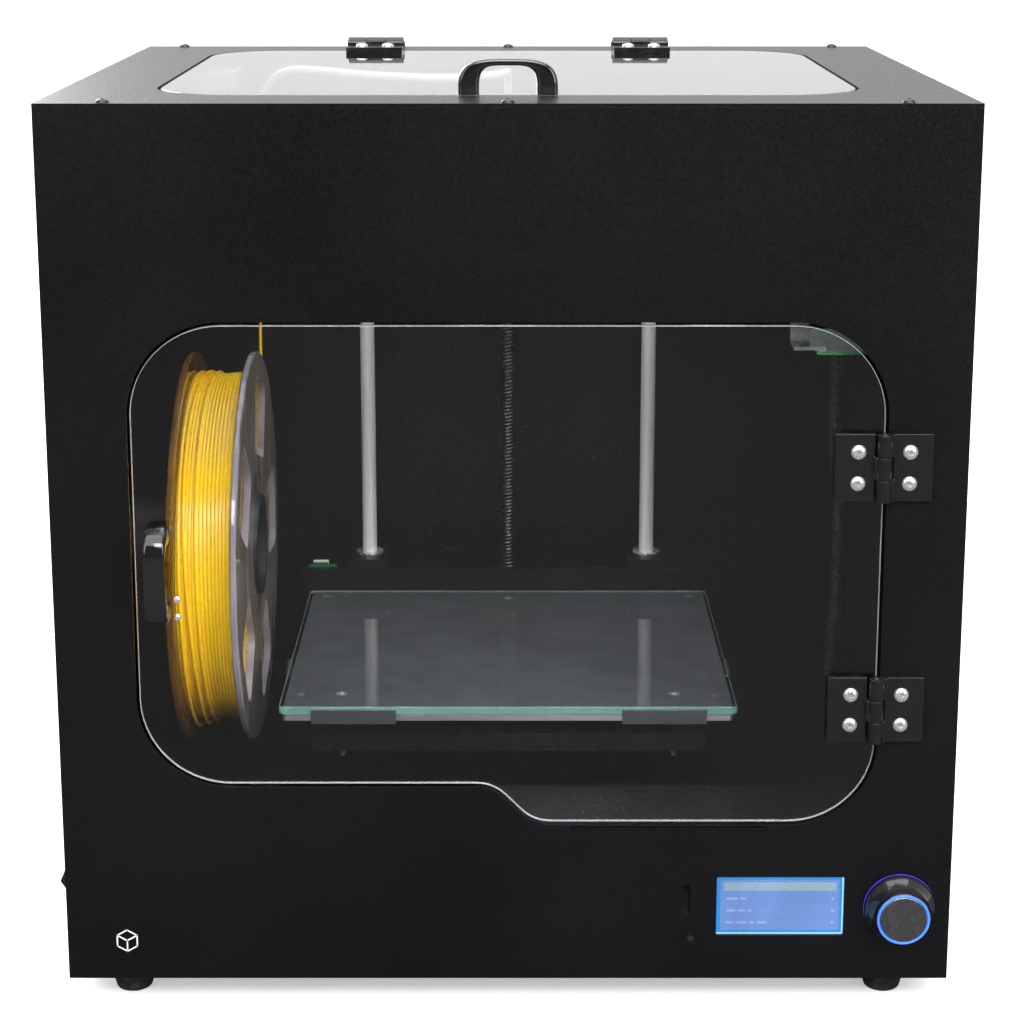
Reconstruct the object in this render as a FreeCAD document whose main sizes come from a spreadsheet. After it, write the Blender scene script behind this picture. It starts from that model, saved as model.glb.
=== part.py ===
# Enclosed desktop filament printer with a door, a lid, a heated bed and an overhead gantry.
# Millimetres. Origin: under the middle of the machine on the table, +X right, +Y to the back, +Z up.
import FreeCAD, Part
import math
import os
import re

import Sketcher

Vector = FreeCAD.Vector
doc = FreeCAD.newDocument("printer")
sheet = doc.addObject("Spreadsheet::Sheet", "Dims")

# The driving dimensions. Heights with no other note are measured up from the case's bottom edge,
# and depths are measured back from its front face.
DIMENSIONS = {
    # case of folded sheet steel on four feet
    "case_wide": 400, "case_deep": 330, "case_high": 398, "steel": 1.5, "fold": 8,
    "foot_high": 14, "foot_wide": 22, "foot_inset_x": 26, "foot_inset_y": 22,
    "handle_reach": 15.5, "side": "=case_wide / 2", "front": "=handle_reach / 2 - case_deep / 2",
    "rear": "=front + case_deep", "base": "=foot_high", "top": "=base + case_high",
    "inside": "=side - steel", "deck_high": 37, "deck": "=base + deck_high + steel",
    # front door: clear sheet set flush in its opening
    "door_left": -163.5, "door_right": 163.2, "door_top": 303, "door_low": 94.3, "door_lower": 76.2,
    "door_step_a": -6.6, "door_step_b": 11.5, "door_corner": 40, "door_bend": 18, "gap": 1.5,
    "pane": 3,
    # lid: clear sheet set flush in the top
    "lid_half": 156.5, "lid_front": 38, "lid_rear": 297, "lid_corner": 38,
    # bow handles and hinges
    "handle_long": 44, "handle_wide": 9.5, "grip": 3, "handle_end": 8.5,
    "handle_open": 12.5, "door_handle_x": -153, "door_handle_z": 193,
    "leaf_long": 30, "leaf_wide": 21.3, "leaf_thick": 3, "knuckle": 3.5, "pin_radius": 1.5,
    "axis_x": 162.7, "axis_out": 3.6, "hinge_upper": 241, "hinge_lower": 130.4, "lid_axis": 300.5,
    "lid_hinge_x": 72, "screw_out": 11.2, "screw_up": 7,
    # controls
    "screen_left": 94.4, "screen_right": 152, "screen_low": 21.2, "screen_high": 49.4,
    "knob_x": 177, "knob_z": 35, "knob_radius": 16.2, "knob_face": 10.7, "knob_out": 14,
    "knob_gap": 1.2, "shaft_radius": 3, "reset_x": 83, "reset_z": 19.4, "reset_radius": 1.6,
    "card_left": 78.9, "card_right": 82.5, "card_low": 31.2, "card_high": 45.7,
    "cover_left": -15, "cover_right": 190, "cover_deep": 54, "cover_high": 72,
    "lip_left": 29, "lip_right": 116,
    # mains inlet and rocker switch on the left side
    "inlet_front": 11, "inlet_rear": 33, "inlet_low": 20, "inlet_high": 50, "bezel": 2,
    "rocker_low": 37, "rocker_high": 48.6, "rocker_pivot": 43,
    # vertical guides and lead screw
    "rod_radius": 4, "z_rod_x": 77.5, "z_rod_y": 278, "z_rod_top": 306, "screw_radius": 4,
    "motor": 42, "motor_deep": 34, "coupler": 9.5,
    # bed: glass on an aluminium heater on a folded carriage
    "glass_half": 110, "glass_front": 76.5, "glass_rear": 260.5, "glass_top": 102.7,
    "glass_thick": 4, "heater_thick": 3, "heater_half": 108, "carriage_half": 94.8,
    "carriage_front": 80, "carriage_rear": 262, "carriage_top": 88, "carriage_thick": 3,
    "lip_drop": 9, "level_x": 81, "level_y": 98, "level_rear": 250, "wheel_radius": 9,
    "bearing_radius": 7.5, "bearing_top": 120.8, "bearing_long": 24, "housing": 21,
    # gantry above the bed
    "y_rod_x": 178, "y_rod_z": 343, "y_rod_end": 297, "gantry": 238, "x_rod_z": 325,
    "x_rod_apart": 22, "block_low": 312, "block_high": 350, "block_in": 166, "block_out": 190,
    "drive_y": 306, "pulley": 5.65, "belt_thick": 1.4, "belt_wide": 6, "belt_x": 194,
    "idler_y": 17, "x_pulley_x": 165, "x_pulley_y": 38, "x_belt_z": 341, "x_motor_low": 353,
    # print head
    "head_half": 30, "head_low": 314, "head_high": 336, "gear_x": -6.4, "gear_z": 357.5,
    "gear_radius": 5.5, "nozzle_tip": 281, "sink_radius": 11, "fan_wide": 29, "fan_thick": 10,
    "lever_x": 12, "lever_z": 343,
    # spool of filament on its wall holder
    "spool_y": 184, "spool_z": 152, "spool_radius": 100, "spool_right": -129.5,
    "spool_wide": 34.5, "flange": 3.5, "hub_bore": 26, "hub_radius": 38, "winding": 90,
    "strand_x": -137, "strand_radius": 0.875, "tube_radius": 2, "tube_y": 288,
    # running fit on a radius
    "fit": 0.05,
}
for row, (alias, amount) in enumerate(DIMENSIONS.items(), start=1):
    sheet.set("A%d" % row, alias)
    sheet.set("B%d" % row, str(amount))
    sheet.setAlias("B%d" % row, alias)
doc.recompute()

nodes = {}


def expand(formula):
    """Point every dimension's name in a formula at its cell."""
    return re.sub(
        r"[a-z][a-z_]*",
        lambda word: "Dims." + word.group(0) if word.group(0) in DIMENSIONS else word.group(0),
        str(formula),
    )


def value(formula):
    """The number that a formula gives now."""
    return float(sheet.evalExpression(expand(formula)))


def node(label, thing):
    """Name a finished sub-part."""
    thing.Label = label
    nodes[label] = thing
    return thing


def place(thing, spot, turn=None):
    """Move an object to a spot given as three formulas, turned by a fixed rotation."""
    if turn is not None:
        thing.Placement = FreeCAD.Placement(Vector(), turn)
    for letter, formula in zip("xyz", spot):
        thing.setExpression("Placement.Base." + letter, expand(formula))
    return thing


# Turns that take an object's own Z onto another axis, and one that lays a hinge or handle on the top.
ALONG_X = FreeCAD.Rotation(Vector(0, 1, 0), 90)
ALONG_Y = FreeCAD.Rotation(Vector(1, 0, 0), -90)
TOWARDS_FRONT = FreeCAD.Rotation(Vector(1, 0, 0), 90)
ON_TOP = FreeCAD.Rotation(Vector(0, 1, 0), Vector(0, 0, -1), Vector(-1, 0, 0), "XYZ")
UPRIGHT = FreeCAD.Rotation()


def block(name, low, high):
    """A box between two corners, each given as three formulas."""
    box = doc.addObject("Part::Box", name)
    for size, start, end in zip(("Length", "Width", "Height"), low, high):
        box.setExpression(size, expand("(%s) - (%s)" % (end, start)))
    return place(box, low)


def rod(name, start, radius, length, turn=UPRIGHT):
    """A cylinder from a start point."""
    cylinder = doc.addObject("Part::Cylinder", name)
    cylinder.setExpression("Radius", expand(radius))
    cylinder.setExpression("Height", expand(length))
    return place(cylinder, start, turn)


def ring(name, start, radius, hole, length, turn=UPRIGHT):
    """A tube from a start point."""
    outer = rod(name + "_outer", start, radius, length, turn)
    inner = rod(name + "_inner", start, hole, length, turn)
    return cut(name, outer, inner)


def cut(name, body, *tools):
    """A body with tools taken away."""
    result = doc.addObject("Part::Cut", name)
    result.Base = body
    result.Tool = tools[0] if len(tools) == 1 else join(name + "_tools", *tools)
    return result


def join(name, *pieces):
    """Pieces that are one solid."""
    result = doc.addObject("Part::MultiFuse", name)
    result.Shapes = list(pieces)
    return result


def together(name, *pieces):
    """Separate solids that share a node."""
    result = doc.addObject("Part::Compound", name)
    result.Links = list(pieces)
    return result


def mirrored(name, piece):
    """The piece on the other side of the machine's middle plane."""
    result = doc.addObject("Part::Mirroring", name)
    result.Source = piece
    result.Normal = Vector(1, 0, 0)
    return result


def bind(sketch, kind, *terms):
    """Add a dimension to a sketch and bind it to a formula, the last term."""
    *where, formula = terms
    index = sketch.addConstraint(Sketcher.Constraint(kind, *where, value(formula)))
    sketch.setExpression("Constraints[%d]" % index, expand(formula))


def round_hole(sketch, across, up, radius):
    """A circle in a sketch, held by its centre and radius."""
    centre = Vector(value(across), value(up), 0)
    shape = sketch.addGeometry(Part.Circle(centre, Vector(0, 0, 1), value(radius)))
    bind(sketch, "Radius", shape, radius)
    bind(sketch, "DistanceX", shape, 3, across)
    bind(sketch, "DistanceY", shape, 3, up)


def outline(sketch, corners):
    """A closed loop round corners (across, up, radius), held by the corner points and radii."""
    spots = [Vector(value(across), value(up), 0) for across, up, _ in corners]
    radii = [value(radius) for _, _, radius in corners]
    count = len(corners)
    starts, ends, bends, marks = [], [], [], []
    for i, spot in enumerate(spots):
        back = (spots[i - 1] - spot).normalize()
        ahead = (spots[(i + 1) % count] - spot).normalize()
        half = back.getAngle(ahead) / 2
        reach = radii[i] / math.tan(half)
        ends.append(spot + back * reach)
        starts.append(spot + ahead * reach)
        bends.append((back + ahead, half))
        marks.append(sketch.addGeometry(Part.Point(spot), True))
        bind(sketch, "DistanceX", marks[i], 1, corners[i][0])
        bind(sketch, "DistanceY", marks[i], 1, corners[i][1])
    lines = []
    for i in range(count):
        after = (i + 1) % count
        lines.append(sketch.addGeometry(Part.LineSegment(starts[i], ends[after])))
    for i, spot in enumerate(spots):
        if not radii[i]:
            sketch.addConstraint(Sketcher.Constraint("Coincident", lines[i - 1], 2, marks[i], 1))
            sketch.addConstraint(Sketcher.Constraint("Coincident", lines[i], 1, marks[i], 1))
            continue
        inward, half = bends[i]
        middle = spot + inward.normalize() * (radii[i] / math.sin(half) - radii[i])
        arc = sketch.addGeometry(Part.Arc(ends[i], middle, starts[i]))
        swapped = (sketch.getPoint(arc, 1) - ends[i]).Length > 1e-6
        first, second = (2, 1) if swapped else (1, 2)
        sketch.addConstraint(Sketcher.Constraint("Tangent", lines[i - 1], 2, arc, first))
        sketch.addConstraint(Sketcher.Constraint("Tangent", arc, second, lines[i], 1))
        sketch.addConstraint(Sketcher.Constraint("PointOnObject", marks[i], 1, lines[i - 1]))
        sketch.addConstraint(Sketcher.Constraint("PointOnObject", marks[i], 1, lines[i]))
        bind(sketch, "Radius", arc, corners[i][2])


def rectangle(left, right, low, high, radius="0"):
    """The corners of a rectangle for outline."""
    return [(left, low, radius), (right, low, radius), (right, high, radius), (left, high, radius)]


def sketch_on(body, name, plane, offset):
    """An empty sketch parallel to one of the body's origin planes."""
    sketch = body.newObject("Sketcher::SketchObject", name)
    support = next(item for item in body.Origin.OriginFeatures if item.Role == plane)
    sketch.AttachmentSupport = [(support, "")]
    sketch.MapMode = "FlatFace"
    sketch.setExpression("AttachmentOffset.Base.z", expand(offset))
    return sketch


def layer(body, name, plane, low, thick, loops, holes=()):
    """Add a flat layer to a body: loops and round holes, padded from low by thick."""
    offset = "-(%s) - (%s)" % (low, thick) if plane == "XZ_Plane" else low
    sketch = sketch_on(body, name + "_sketch", plane, offset)
    for loop in loops:
        outline(sketch, loop)
    for hole in holes:
        round_hole(sketch, *hole)
    pad = body.newObject("PartDesign::Pad", name + "_pad")
    pad.Profile = sketch
    pad.setExpression("Length", expand(thick))
    body.Tip = pad
    return pad


def plate(name, plane, low, thick, loops, holes=()):
    """A body of one flat layer."""
    body = doc.addObject("PartDesign::Body", name)
    layer(body, name, plane, low, thick, loops, holes)
    return body


def vents(body, name, plane, offset, loop, step, count):
    """Cut a row of slots right through a plate, spaced along the sketch's own level axis."""
    doc.recompute()
    before = body.Shape.Volume
    sketch = sketch_on(body, name + "_slot", plane, offset)
    outline(sketch, loop)
    pocket = body.newObject("PartDesign::Pocket", name + "_pocket")
    pocket.Profile = sketch
    pocket.Type = "ThroughAll"
    pocket.Reversed = True
    body.Tip = pocket
    row = body.newObject("PartDesign::LinearPattern", name + "_row")
    row.Originals = [pocket]
    row.Direction = (sketch, ["H_Axis"])
    row.Length = step * (count - 1)
    row.Occurrences = count
    body.Tip = row
    doc.recompute()
    if body.Shape.Volume > before - 1:
        raise ValueError(name + " cut nothing")


def turned(name, corners, start, turn=UPRIGHT):
    """A body of revolution about its own Z, from corners (radius, height, corner radius)."""
    body = doc.addObject("PartDesign::Body", name)
    sketch = sketch_on(body, name + "_sketch", "XZ_Plane", "0")
    outline(sketch, corners)
    spin = body.newObject("PartDesign::Revolution", name + "_spin")
    spin.Profile = sketch
    spin.ReferenceAxis = (sketch, ["V_Axis"])
    spin.Angle = 360
    body.Tip = spin
    return place(body, start, turn)


def fixed_shape(name, shape):
    """A node whose shape is worked out here, for repeated fasteners and bent lines."""
    feature = doc.addObject("Part::Feature", name)
    feature.Shape = shape
    return feature


def button_screw(head_radius, head_high, shank_radius, shank_long):
    """A dome-headed socket screw standing on the plane Z = 0, with its shank below."""
    ball = (head_radius**2 + head_high**2) / (2 * head_high)
    dome = Part.makeSphere(ball, Vector(0, 0, head_high - ball))
    head = dome.common(Part.makeCylinder(head_radius, head_high))
    socket = Part.makeCylinder(head_radius * 0.4, head_high * 0.6, Vector(0, 0, head_high * 0.4))
    screw = head.cut(socket)
    if shank_long:
        screw = screw.fuse(Part.makeCylinder(shank_radius, shank_long, Vector(0, 0, -shank_long)))
    return screw.removeSplitter()


def copies(shape, spots, turn):
    """Copies of a shape at spots given as triples of formulas."""
    result = []
    for spot in spots:
        copy = shape.copy()
        where = Vector(*[value(formula) for formula in spot])
        copy.Placement = FreeCAD.Placement(where, turn)
        result.append(copy)
    return result


def bent_line(points, radius, bend):
    """A round line of straight runs joined by tangent arcs; prints its arcs' radii."""
    corners = [Vector(*point) for point in points]
    edges = []
    here = corners[0]
    radii = []
    for before, corner, after in zip(corners, corners[1:], corners[2:]):
        back = (before - corner).normalize()
        ahead = (after - corner).normalize()
        half = back.getAngle(ahead) / 2
        shorter = min((before - corner).Length, (after - corner).Length)
        arc = min(bend * shorter * math.tan(half), 80)
        reach = arc / math.tan(half)
        middle = corner + (back + ahead).normalize() * (arc / math.sin(half) - arc)
        edges.append(Part.LineSegment(here, corner + back * reach).toShape())
        edges.append(Part.Arc(corner + back * reach, middle, corner + ahead * reach).toShape())
        here = corner + ahead * reach
        radii.append(round(arc, 1))
    edges.append(Part.LineSegment(here, corners[-1]).toShape())
    path = Part.Wire(edges)
    circle = Part.Circle(corners[0], corners[1] - corners[0], radius)
    line = path.makePipeShell([Part.Wire(circle.toShape())], True, False, 2)
    print("line radii", radii, "volume ratio", line.Volume / (math.pi * radius**2 * path.Length))
    return line


# ---- case ----

def door_loop(grow):
    """The door's outline, grown by a margin."""
    return [
        ("door_left - (%s)" % grow, "base + door_low - (%s)" % grow, "door_corner + (%s)" % grow),
        ("door_step_a - 0.41 * (%s)" % grow, "base + door_low - (%s)" % grow, "door_bend - (%s)" % grow),
        ("door_step_b - 0.41 * (%s)" % grow, "base + door_lower - (%s)" % grow, "door_bend + (%s)" % grow),
        ("door_right + (%s)" % grow, "base + door_lower - (%s)" % grow, "door_corner - 2 + (%s)" % grow),
        ("door_right + (%s)" % grow, "base + door_top + (%s)" % grow, "door_corner + (%s)" % grow),
        ("door_left - (%s)" % grow, "base + door_top + (%s)" % grow, "door_corner + (%s)" % grow),
    ]


def folded_edge(inset):
    """The outline of the front and rear panels, moved in by an inset."""
    return rectangle("-side + " + inset, "side - " + inset, "base + " + inset, "top - steel - " + inset)


front_panel = plate(
    "FrontPanel", "XZ_Plane", "front", "steel",
    [
        folded_edge("0"),
        door_loop("gap"),
        rectangle("screen_left", "screen_right", "base + screen_low", "base + screen_high", "0.8"),
        rectangle("card_left", "card_right", "base + card_low", "base + card_high", "1"),
        rectangle("lip_left - 0.4", "lip_right + 0.4", "base + cover_high - 0.4", "base + cover_high + 1.9"),
    ],
    [
        ("knob_x", "base + knob_z", "4.6"),
        ("reset_x", "base + reset_z", "reset_radius + 0.2"),
    ],
)
layer(
    front_panel, "FrontFold", "XZ_Plane", "front + steel", "fold",
    [folded_edge("0"), folded_edge("steel")],
)
node("front_panel", front_panel)

rear_panel = plate("RearPanel", "XZ_Plane", "rear - steel", "steel", [folded_edge("0")])
layer(
    rear_panel, "RearFold", "XZ_Plane", "rear - steel - fold", "fold",
    [folded_edge("0"), folded_edge("steel")],
)
for number, low in enumerate(("330", "348")):
    vents(
        rear_panel, "RearVent%d" % number, "XZ_Plane", "-rear",
        rectangle("-72.5", "-67.5", "base + " + low, "base + 14 + " + low, "2"), 11, 14,
    )
node("rear_panel", rear_panel)


def side_panel(name, low, extra=()):
    """A side wall of the case between the front and rear folds, with a row of vents at the bottom."""
    wall = rectangle("front + steel + fold + 0.1", "rear - steel - fold - 0.1", "base", "top - steel")
    panel = plate(name, "YZ_Plane", low, "steel", [wall, *extra])
    slot = rectangle("front + 170", "front + 175", "base + 8", "base + 28", "2")
    vents(panel, name + "Vent", "YZ_Plane", low, slot, 11, 12)
    return panel


inlet_hole = rectangle(
    "front + inlet_front + 1", "front + inlet_rear - 1", "base + inlet_low + 1", "base + inlet_high - 1"
)
node("left_panel", side_panel("LeftPanel", "-side", [inlet_hole]))
node("right_panel", side_panel("RightPanel", "side - steel"))


def lid_loop(grow):
    """The lid's outline, grown by a margin."""
    return rectangle(
        "-lid_half - " + grow, "lid_half + " + grow, "front + lid_front - " + grow,
        "front + lid_rear + " + grow, "lid_corner + " + grow,
    )


TOP_SCREWS = [
    ("-171", "front + 5"), ("0", "front + 5"), ("169", "front + 5"),
    ("-180", "rear - 5"), ("0", "rear - 5"), ("180", "rear - 5"),
]
node("top_panel", plate(
    "TopPanel", "XY_Plane", "top - steel", "steel",
    [rectangle("-side", "side", "front", "rear"), lid_loop("gap")],
    [(across, deep, "1.7") for across, deep in TOP_SCREWS],
))

bottom_plate = block(
    "BottomPlate", ("-inside + 0.1", "front + steel + fold + 0.1", "base"),
    ("inside - 0.1", "rear - steel - fold - 0.1", "base + steel"),
)
deck_plate = plate(
    "DeckPlate", "XY_Plane", "base + deck_high", "steel",
    [rectangle("-inside + 0.1", "inside - 0.1", "front + 36", "rear - steel - 0.1")],
    [("0", "front + z_rod_y", "coupler + 3")],
)
node("base_plates", together("BasePlates", bottom_plate, deck_plate))

cover_top = block(
    "CoverTop", ("cover_left", "front + steel + 0.7", "base + cover_high - steel"),
    ("cover_right", "front + cover_deep", "base + cover_high"),
)
cover_back = block(
    "CoverBack", ("cover_left", "front + cover_deep - steel", "deck + 0.1"),
    ("cover_right", "front + cover_deep", "base + cover_high"),
)
cover_end = block(
    "CoverEnd", ("cover_left", "front + 36", "deck + 0.1"),
    ("cover_left + steel", "front + cover_deep", "base + cover_high"),
)
cover_lip = block(
    "CoverLip", ("lip_left", "front - 0.2", "base + cover_high"),
    ("lip_right", "front + 12", "base + cover_high + 1.5"),
)
node("display_cover", join("DisplayCover", cover_top, cover_back, cover_end, cover_lip))

foot = turned(
    "Foot",
    [
        ("0", "0", "0"), ("foot_wide / 2 - 3", "0", "1.8"), ("foot_wide / 2", "foot_high - 3", "0"),
        ("foot_wide / 2", "foot_high", "0"), ("0", "foot_high", "0"),
    ],
    ("side - foot_inset_x", "front + foot_inset_y", "0"),
)
foot_behind = turned(
    "FootBehind",
    [
        ("0", "0", "0"), ("foot_wide / 2 - 3", "0", "1.8"), ("foot_wide / 2", "foot_high - 3", "0"),
        ("foot_wide / 2", "foot_high", "0"), ("0", "foot_high", "0"),
    ],
    ("side - foot_inset_x", "rear - foot_inset_y", "0"),
)
feet = [foot, foot_behind, mirrored("FootLeft", foot), mirrored("FootBehindLeft", foot_behind)]
node("rubber_feet", together("RubberFeet", *feet))


# ---- hinges, handles and clear panels ----

def leaf(name, side, spot, turn):
    """One leaf of a butt hinge about its own Z, lying on the plane Y = 0; side 1 is fixed, -1 moves."""
    third = "leaf_long / 3"
    inner, outer = ("4", "leaf_wide") if side > 0 else ("-leaf_wide", "-4")
    flat = block(name + "_flat", (inner, "-leaf_thick", "-leaf_long / 2"), (outer, "0", "leaf_long / 2"))
    if side > 0:
        zones = [("-leaf_long / 2", third + " - 0.1"), ("leaf_long / 6 + 0.1", third + " - 0.1")]
    else:
        zones = [("-leaf_long / 6 + 0.1", third + " - 0.2")]
    pieces = [flat]
    for number, (low, long) in enumerate(zones):
        tongue = ("0.5", "4.5") if side > 0 else ("-4.5", "-0.5")
        pieces.append(block(
            "%s_tongue%d" % (name, number), (tongue[0], "-leaf_thick - 2", low),
            (tongue[1], "-0.6", "%s + %s" % (low, long)),
        ))
        pieces.append(rod("%s_knuckle%d" % (name, number), ("0", "-axis_out", low), "knuckle", long))
    whole = join(name + "_leaf", *pieces)
    if side > 0:
        pin = rod(name + "_pin", ("0", "-axis_out", "-leaf_long / 2 - 0.5"), "pin_radius", "leaf_long + 1")
        return place(join(name, whole, pin), spot, turn)
    start = ("0", "-axis_out", "-leaf_long")
    bore = rod(name + "_bore", start, "pin_radius + fit", "2 * leaf_long")
    return place(cut(name, whole, bore), spot, turn)


DOOR_HINGES = [("axis_x", "front", "base + hinge_upper"), ("axis_x", "front", "base + hinge_lower")]
LID_HINGES = [("-lid_hinge_x", "front + lid_axis", "top"), ("lid_hinge_x", "front + lid_axis", "top")]
fixed_leaves = []
door_leaves = []
lid_leaves = []
for number, spot in enumerate(DOOR_HINGES):
    fixed_leaves.append(leaf("DoorFixedLeaf%d" % number, 1, spot, UPRIGHT))
    door_leaves.append(leaf("DoorLeaf%d" % number, -1, spot, UPRIGHT))
for number, spot in enumerate(LID_HINGES):
    fixed_leaves.append(leaf("LidFixedLeaf%d" % number, 1, spot, ON_TOP))
    lid_leaves.append(leaf("LidLeaf%d" % number, -1, spot, ON_TOP))
node("fixed_hinge_leaves", together("FixedHingeLeaves", *fixed_leaves))
node("door_hinge_leaves", together("DoorHingeLeaves", *door_leaves))
node("lid_hinge_leaves", together("LidHingeLeaves", *lid_leaves))


def bow_handle(name, spot, turn):
    """An arched pull standing out along its own -Y, its length along Z, on the plane Y = 0."""
    body = doc.addObject("PartDesign::Body", name)
    sketch = sketch_on(body, name + "_sketch", "YZ_Plane", "-handle_wide / 2")
    loop = [("0", "handle_long / 2", "0"), ("-handle_end", "handle_long / 2", "3"),
            ("-handle_reach", "handle_long / 5", "12"), ("-handle_reach", "-handle_long / 5", "12"),
            ("-handle_end", "-handle_long / 2", "3"), ("0", "-handle_long / 2", "0"),
            ("0", "-handle_open", "0"), ("-handle_end", "-handle_open", "3"),
            ("grip - handle_reach", "4 - handle_open", "4"),
            ("grip - handle_reach", "handle_open - 4", "4"),
            ("-handle_end", "handle_open", "3"), ("0", "handle_open", "0")]
    outline(sketch, loop)
    pad = body.newObject("PartDesign::Pad", name + "_pad")
    pad.Profile = sketch
    pad.setExpression("Length", expand("handle_wide"))
    body.Tip = pad
    return place(body, spot, turn)


node("door_pane", plate("DoorPane", "XZ_Plane", "front", "pane", [door_loop("0")]))
node("door_handle", bow_handle(
    "DoorHandle", ("door_handle_x", "front", "base + door_handle_z"), UPRIGHT
))
node("lid_pane", plate("LidPane", "XY_Plane", "top - pane", "pane", [lid_loop("0")]))
node("lid_handle", bow_handle("LidHandle", ("0", "front + lid_front + 6", "top"), ON_TOP))

hinge_screw = button_screw(2.9, 1.7, 1.5, 0)
case_screw = button_screw(3, 1.6, 1.5, value("steel"))
wall_screw = button_screw(3, 1.6, 1.5, 0)


def hinge_spots(side):
    """The four door-hinge screws of one side, on the faces of the leaves."""
    spots = []
    for _, _, centre in DOOR_HINGES:
        for shift in ("- screw_up", "+ screw_up"):
            across = "axis_x + (%d) * screw_out" % side
            spots.append((across, "front - leaf_thick", centre + shift))
    return spots


def lid_hinge_spots(side):
    """The four lid-hinge screws of one side, on the faces of the leaves."""
    spots = []
    for centre, _, _ in LID_HINGES:
        for shift in ("- screw_up", "+ screw_up"):
            deep = "front + lid_axis + (%d) * screw_out" % side
            spots.append((centre + shift, deep, "top + leaf_thick"))
    return spots


WALL_HEIGHTS = ("base + 40", "base + 200", "base + 360")
left_spots = [("-side", "front + 60", "base + 360"), ("-side", "rear - 60", "base + 360"),
              ("-side", "front + 60", "base + 14"), ("-side", "rear - 30", "base + 14")]
right_spots = [("side", *spot[1:]) for spot in left_spots]
rear_spots = [(x, "rear", z) for x in ("-190", "190") for z in WALL_HEIGHTS]
top_spots = [(across, deep, "top") for across, deep in TOP_SCREWS]
node("case_screws", fixed_shape("CaseScrews", Part.makeCompound([
    *copies(case_screw, top_spots, UPRIGHT),
    *copies(wall_screw, left_spots, ALONG_X.inverted()),
    *copies(wall_screw, right_spots, ALONG_X),
    *copies(wall_screw, rear_spots, ALONG_Y),
    *copies(hinge_screw, hinge_spots(1), TOWARDS_FRONT),
    *copies(hinge_screw, lid_hinge_spots(1), UPRIGHT),
])))
catch_spots = [("door_handle_x + 7.4", "front", height) for height in ("base + 180.4", "base + 172.3")]
small_screw = button_screw(1.7, 1.1, 1, 0)
node("door_screws", fixed_shape("DoorScrews", Part.makeCompound([
    *copies(hinge_screw, hinge_spots(-1), TOWARDS_FRONT),
    *copies(small_screw, catch_spots, TOWARDS_FRONT),
])))
node("lid_screws", fixed_shape("LidScrews", Part.makeCompound(
    copies(hinge_screw, lid_hinge_spots(-1), UPRIGHT)
)))


# ---- controls ----

screen_block = block(
    "ScreenBlock", ("screen_left - 2", "front + steel + 0.1", "base + screen_low - 2"),
    ("screen_right + 2", "front + 11", "base + screen_high + 2"),
)
board = block(
    "ControlBoard", ("72", "front + 11", "base + 10"), ("188", "front + 12.6", "base + 58")
)
encoder = block(
    "EncoderBody", ("knob_x - 6", "front + 4", "base + knob_z - 6"),
    ("knob_x + 6", "front + 11", "base + knob_z + 6"),
)
bush = rod("EncoderBush", ("knob_x", "front - 0.4", "base + knob_z"), "4.4", "4.6", ALONG_Y)
bush_bore = rod(
    "EncoderBore", ("knob_x", "front - 1", "base + knob_z"), "shaft_radius + fit", "10", ALONG_Y
)
socket = block(
    "CardSocket", ("card_left - 1.8", "front + steel + 0.1", "base + card_low - 1"),
    ("card_right + 1.8", "front + 11", "base + card_high + 1"),
)
card_way = block(
    "CardWay", ("card_left", "front", "base + card_low"), ("card_right", "front + 9", "base + card_high")
)
reset_switch = block(
    "ResetSwitch", ("reset_x - 3", "front + 8", "base + reset_z - 3"),
    ("reset_x + 3", "front + 11", "base + reset_z + 3"),
)
boards = join("ControlStack", screen_block, board, encoder, bush, socket, reset_switch)
node("display_unit", cut("DisplayUnit", boards, bush_bore, card_way))

node("reset_button", rod(
    "ResetButton", ("reset_x", "front + 0.4", "base + reset_z"), "reset_radius", "7.2", ALONG_Y
))
node("knob_shaft", rod(
    "KnobShaft", ("knob_x", "front - 10", "base + knob_z"), "shaft_radius", "17.5", ALONG_Y
))
node("knob", turned(
    "Knob",
    [
        ("shaft_radius + fit", "knob_gap", "0"), ("knob_radius", "knob_gap", "0.4"),
        ("knob_radius", "3", "1"), ("knob_face + 1.6", "6.5", "3"), ("knob_face", "knob_out", "0.6"),
        ("0", "knob_out", "0"), ("0", "10.2", "0"), ("shaft_radius + fit", "10.2", "0"),
    ],
    ("knob_x", "front", "base + knob_z"), TOWARDS_FRONT,
))

bezel = block(
    "InletBezel", ("-side - bezel", "front + inlet_front", "base + inlet_low"),
    ("-side", "front + inlet_rear", "base + inlet_high"),
)
inlet_body = block(
    "InletBody", ("-side", "front + inlet_front + 1.2", "base + inlet_low + 1.2"),
    ("-side + 28", "front + inlet_rear - 1.2", "base + inlet_high - 1.2"),
)
rocker_well = block(
    "RockerWell", ("-side - bezel - 1", "front + inlet_front + 3", "base + rocker_low - 1.2"),
    ("-side + 8", "front + inlet_rear - 3", "base + rocker_high + 0.6"),
)
lead_well = block(
    "LeadWell", ("-side - bezel - 1", "front + inlet_front + 4", "base + inlet_low + 3"),
    ("-side + 16", "front + inlet_rear - 4", "base + rocker_low - 4"),
)
pins = [
    rod("InletPin%d" % n, ("-side + 1", "front + %g" % deep, "base + 28"), "1.2", "15.5", ALONG_X)
    for n, deep in enumerate((17.6, 26.4))
]
inlet_shell = cut("InletShell", join("InletSolid", bezel, inlet_body), rocker_well, lead_well)
node("power_inlet", join("PowerInlet", inlet_shell, *pins))

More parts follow.
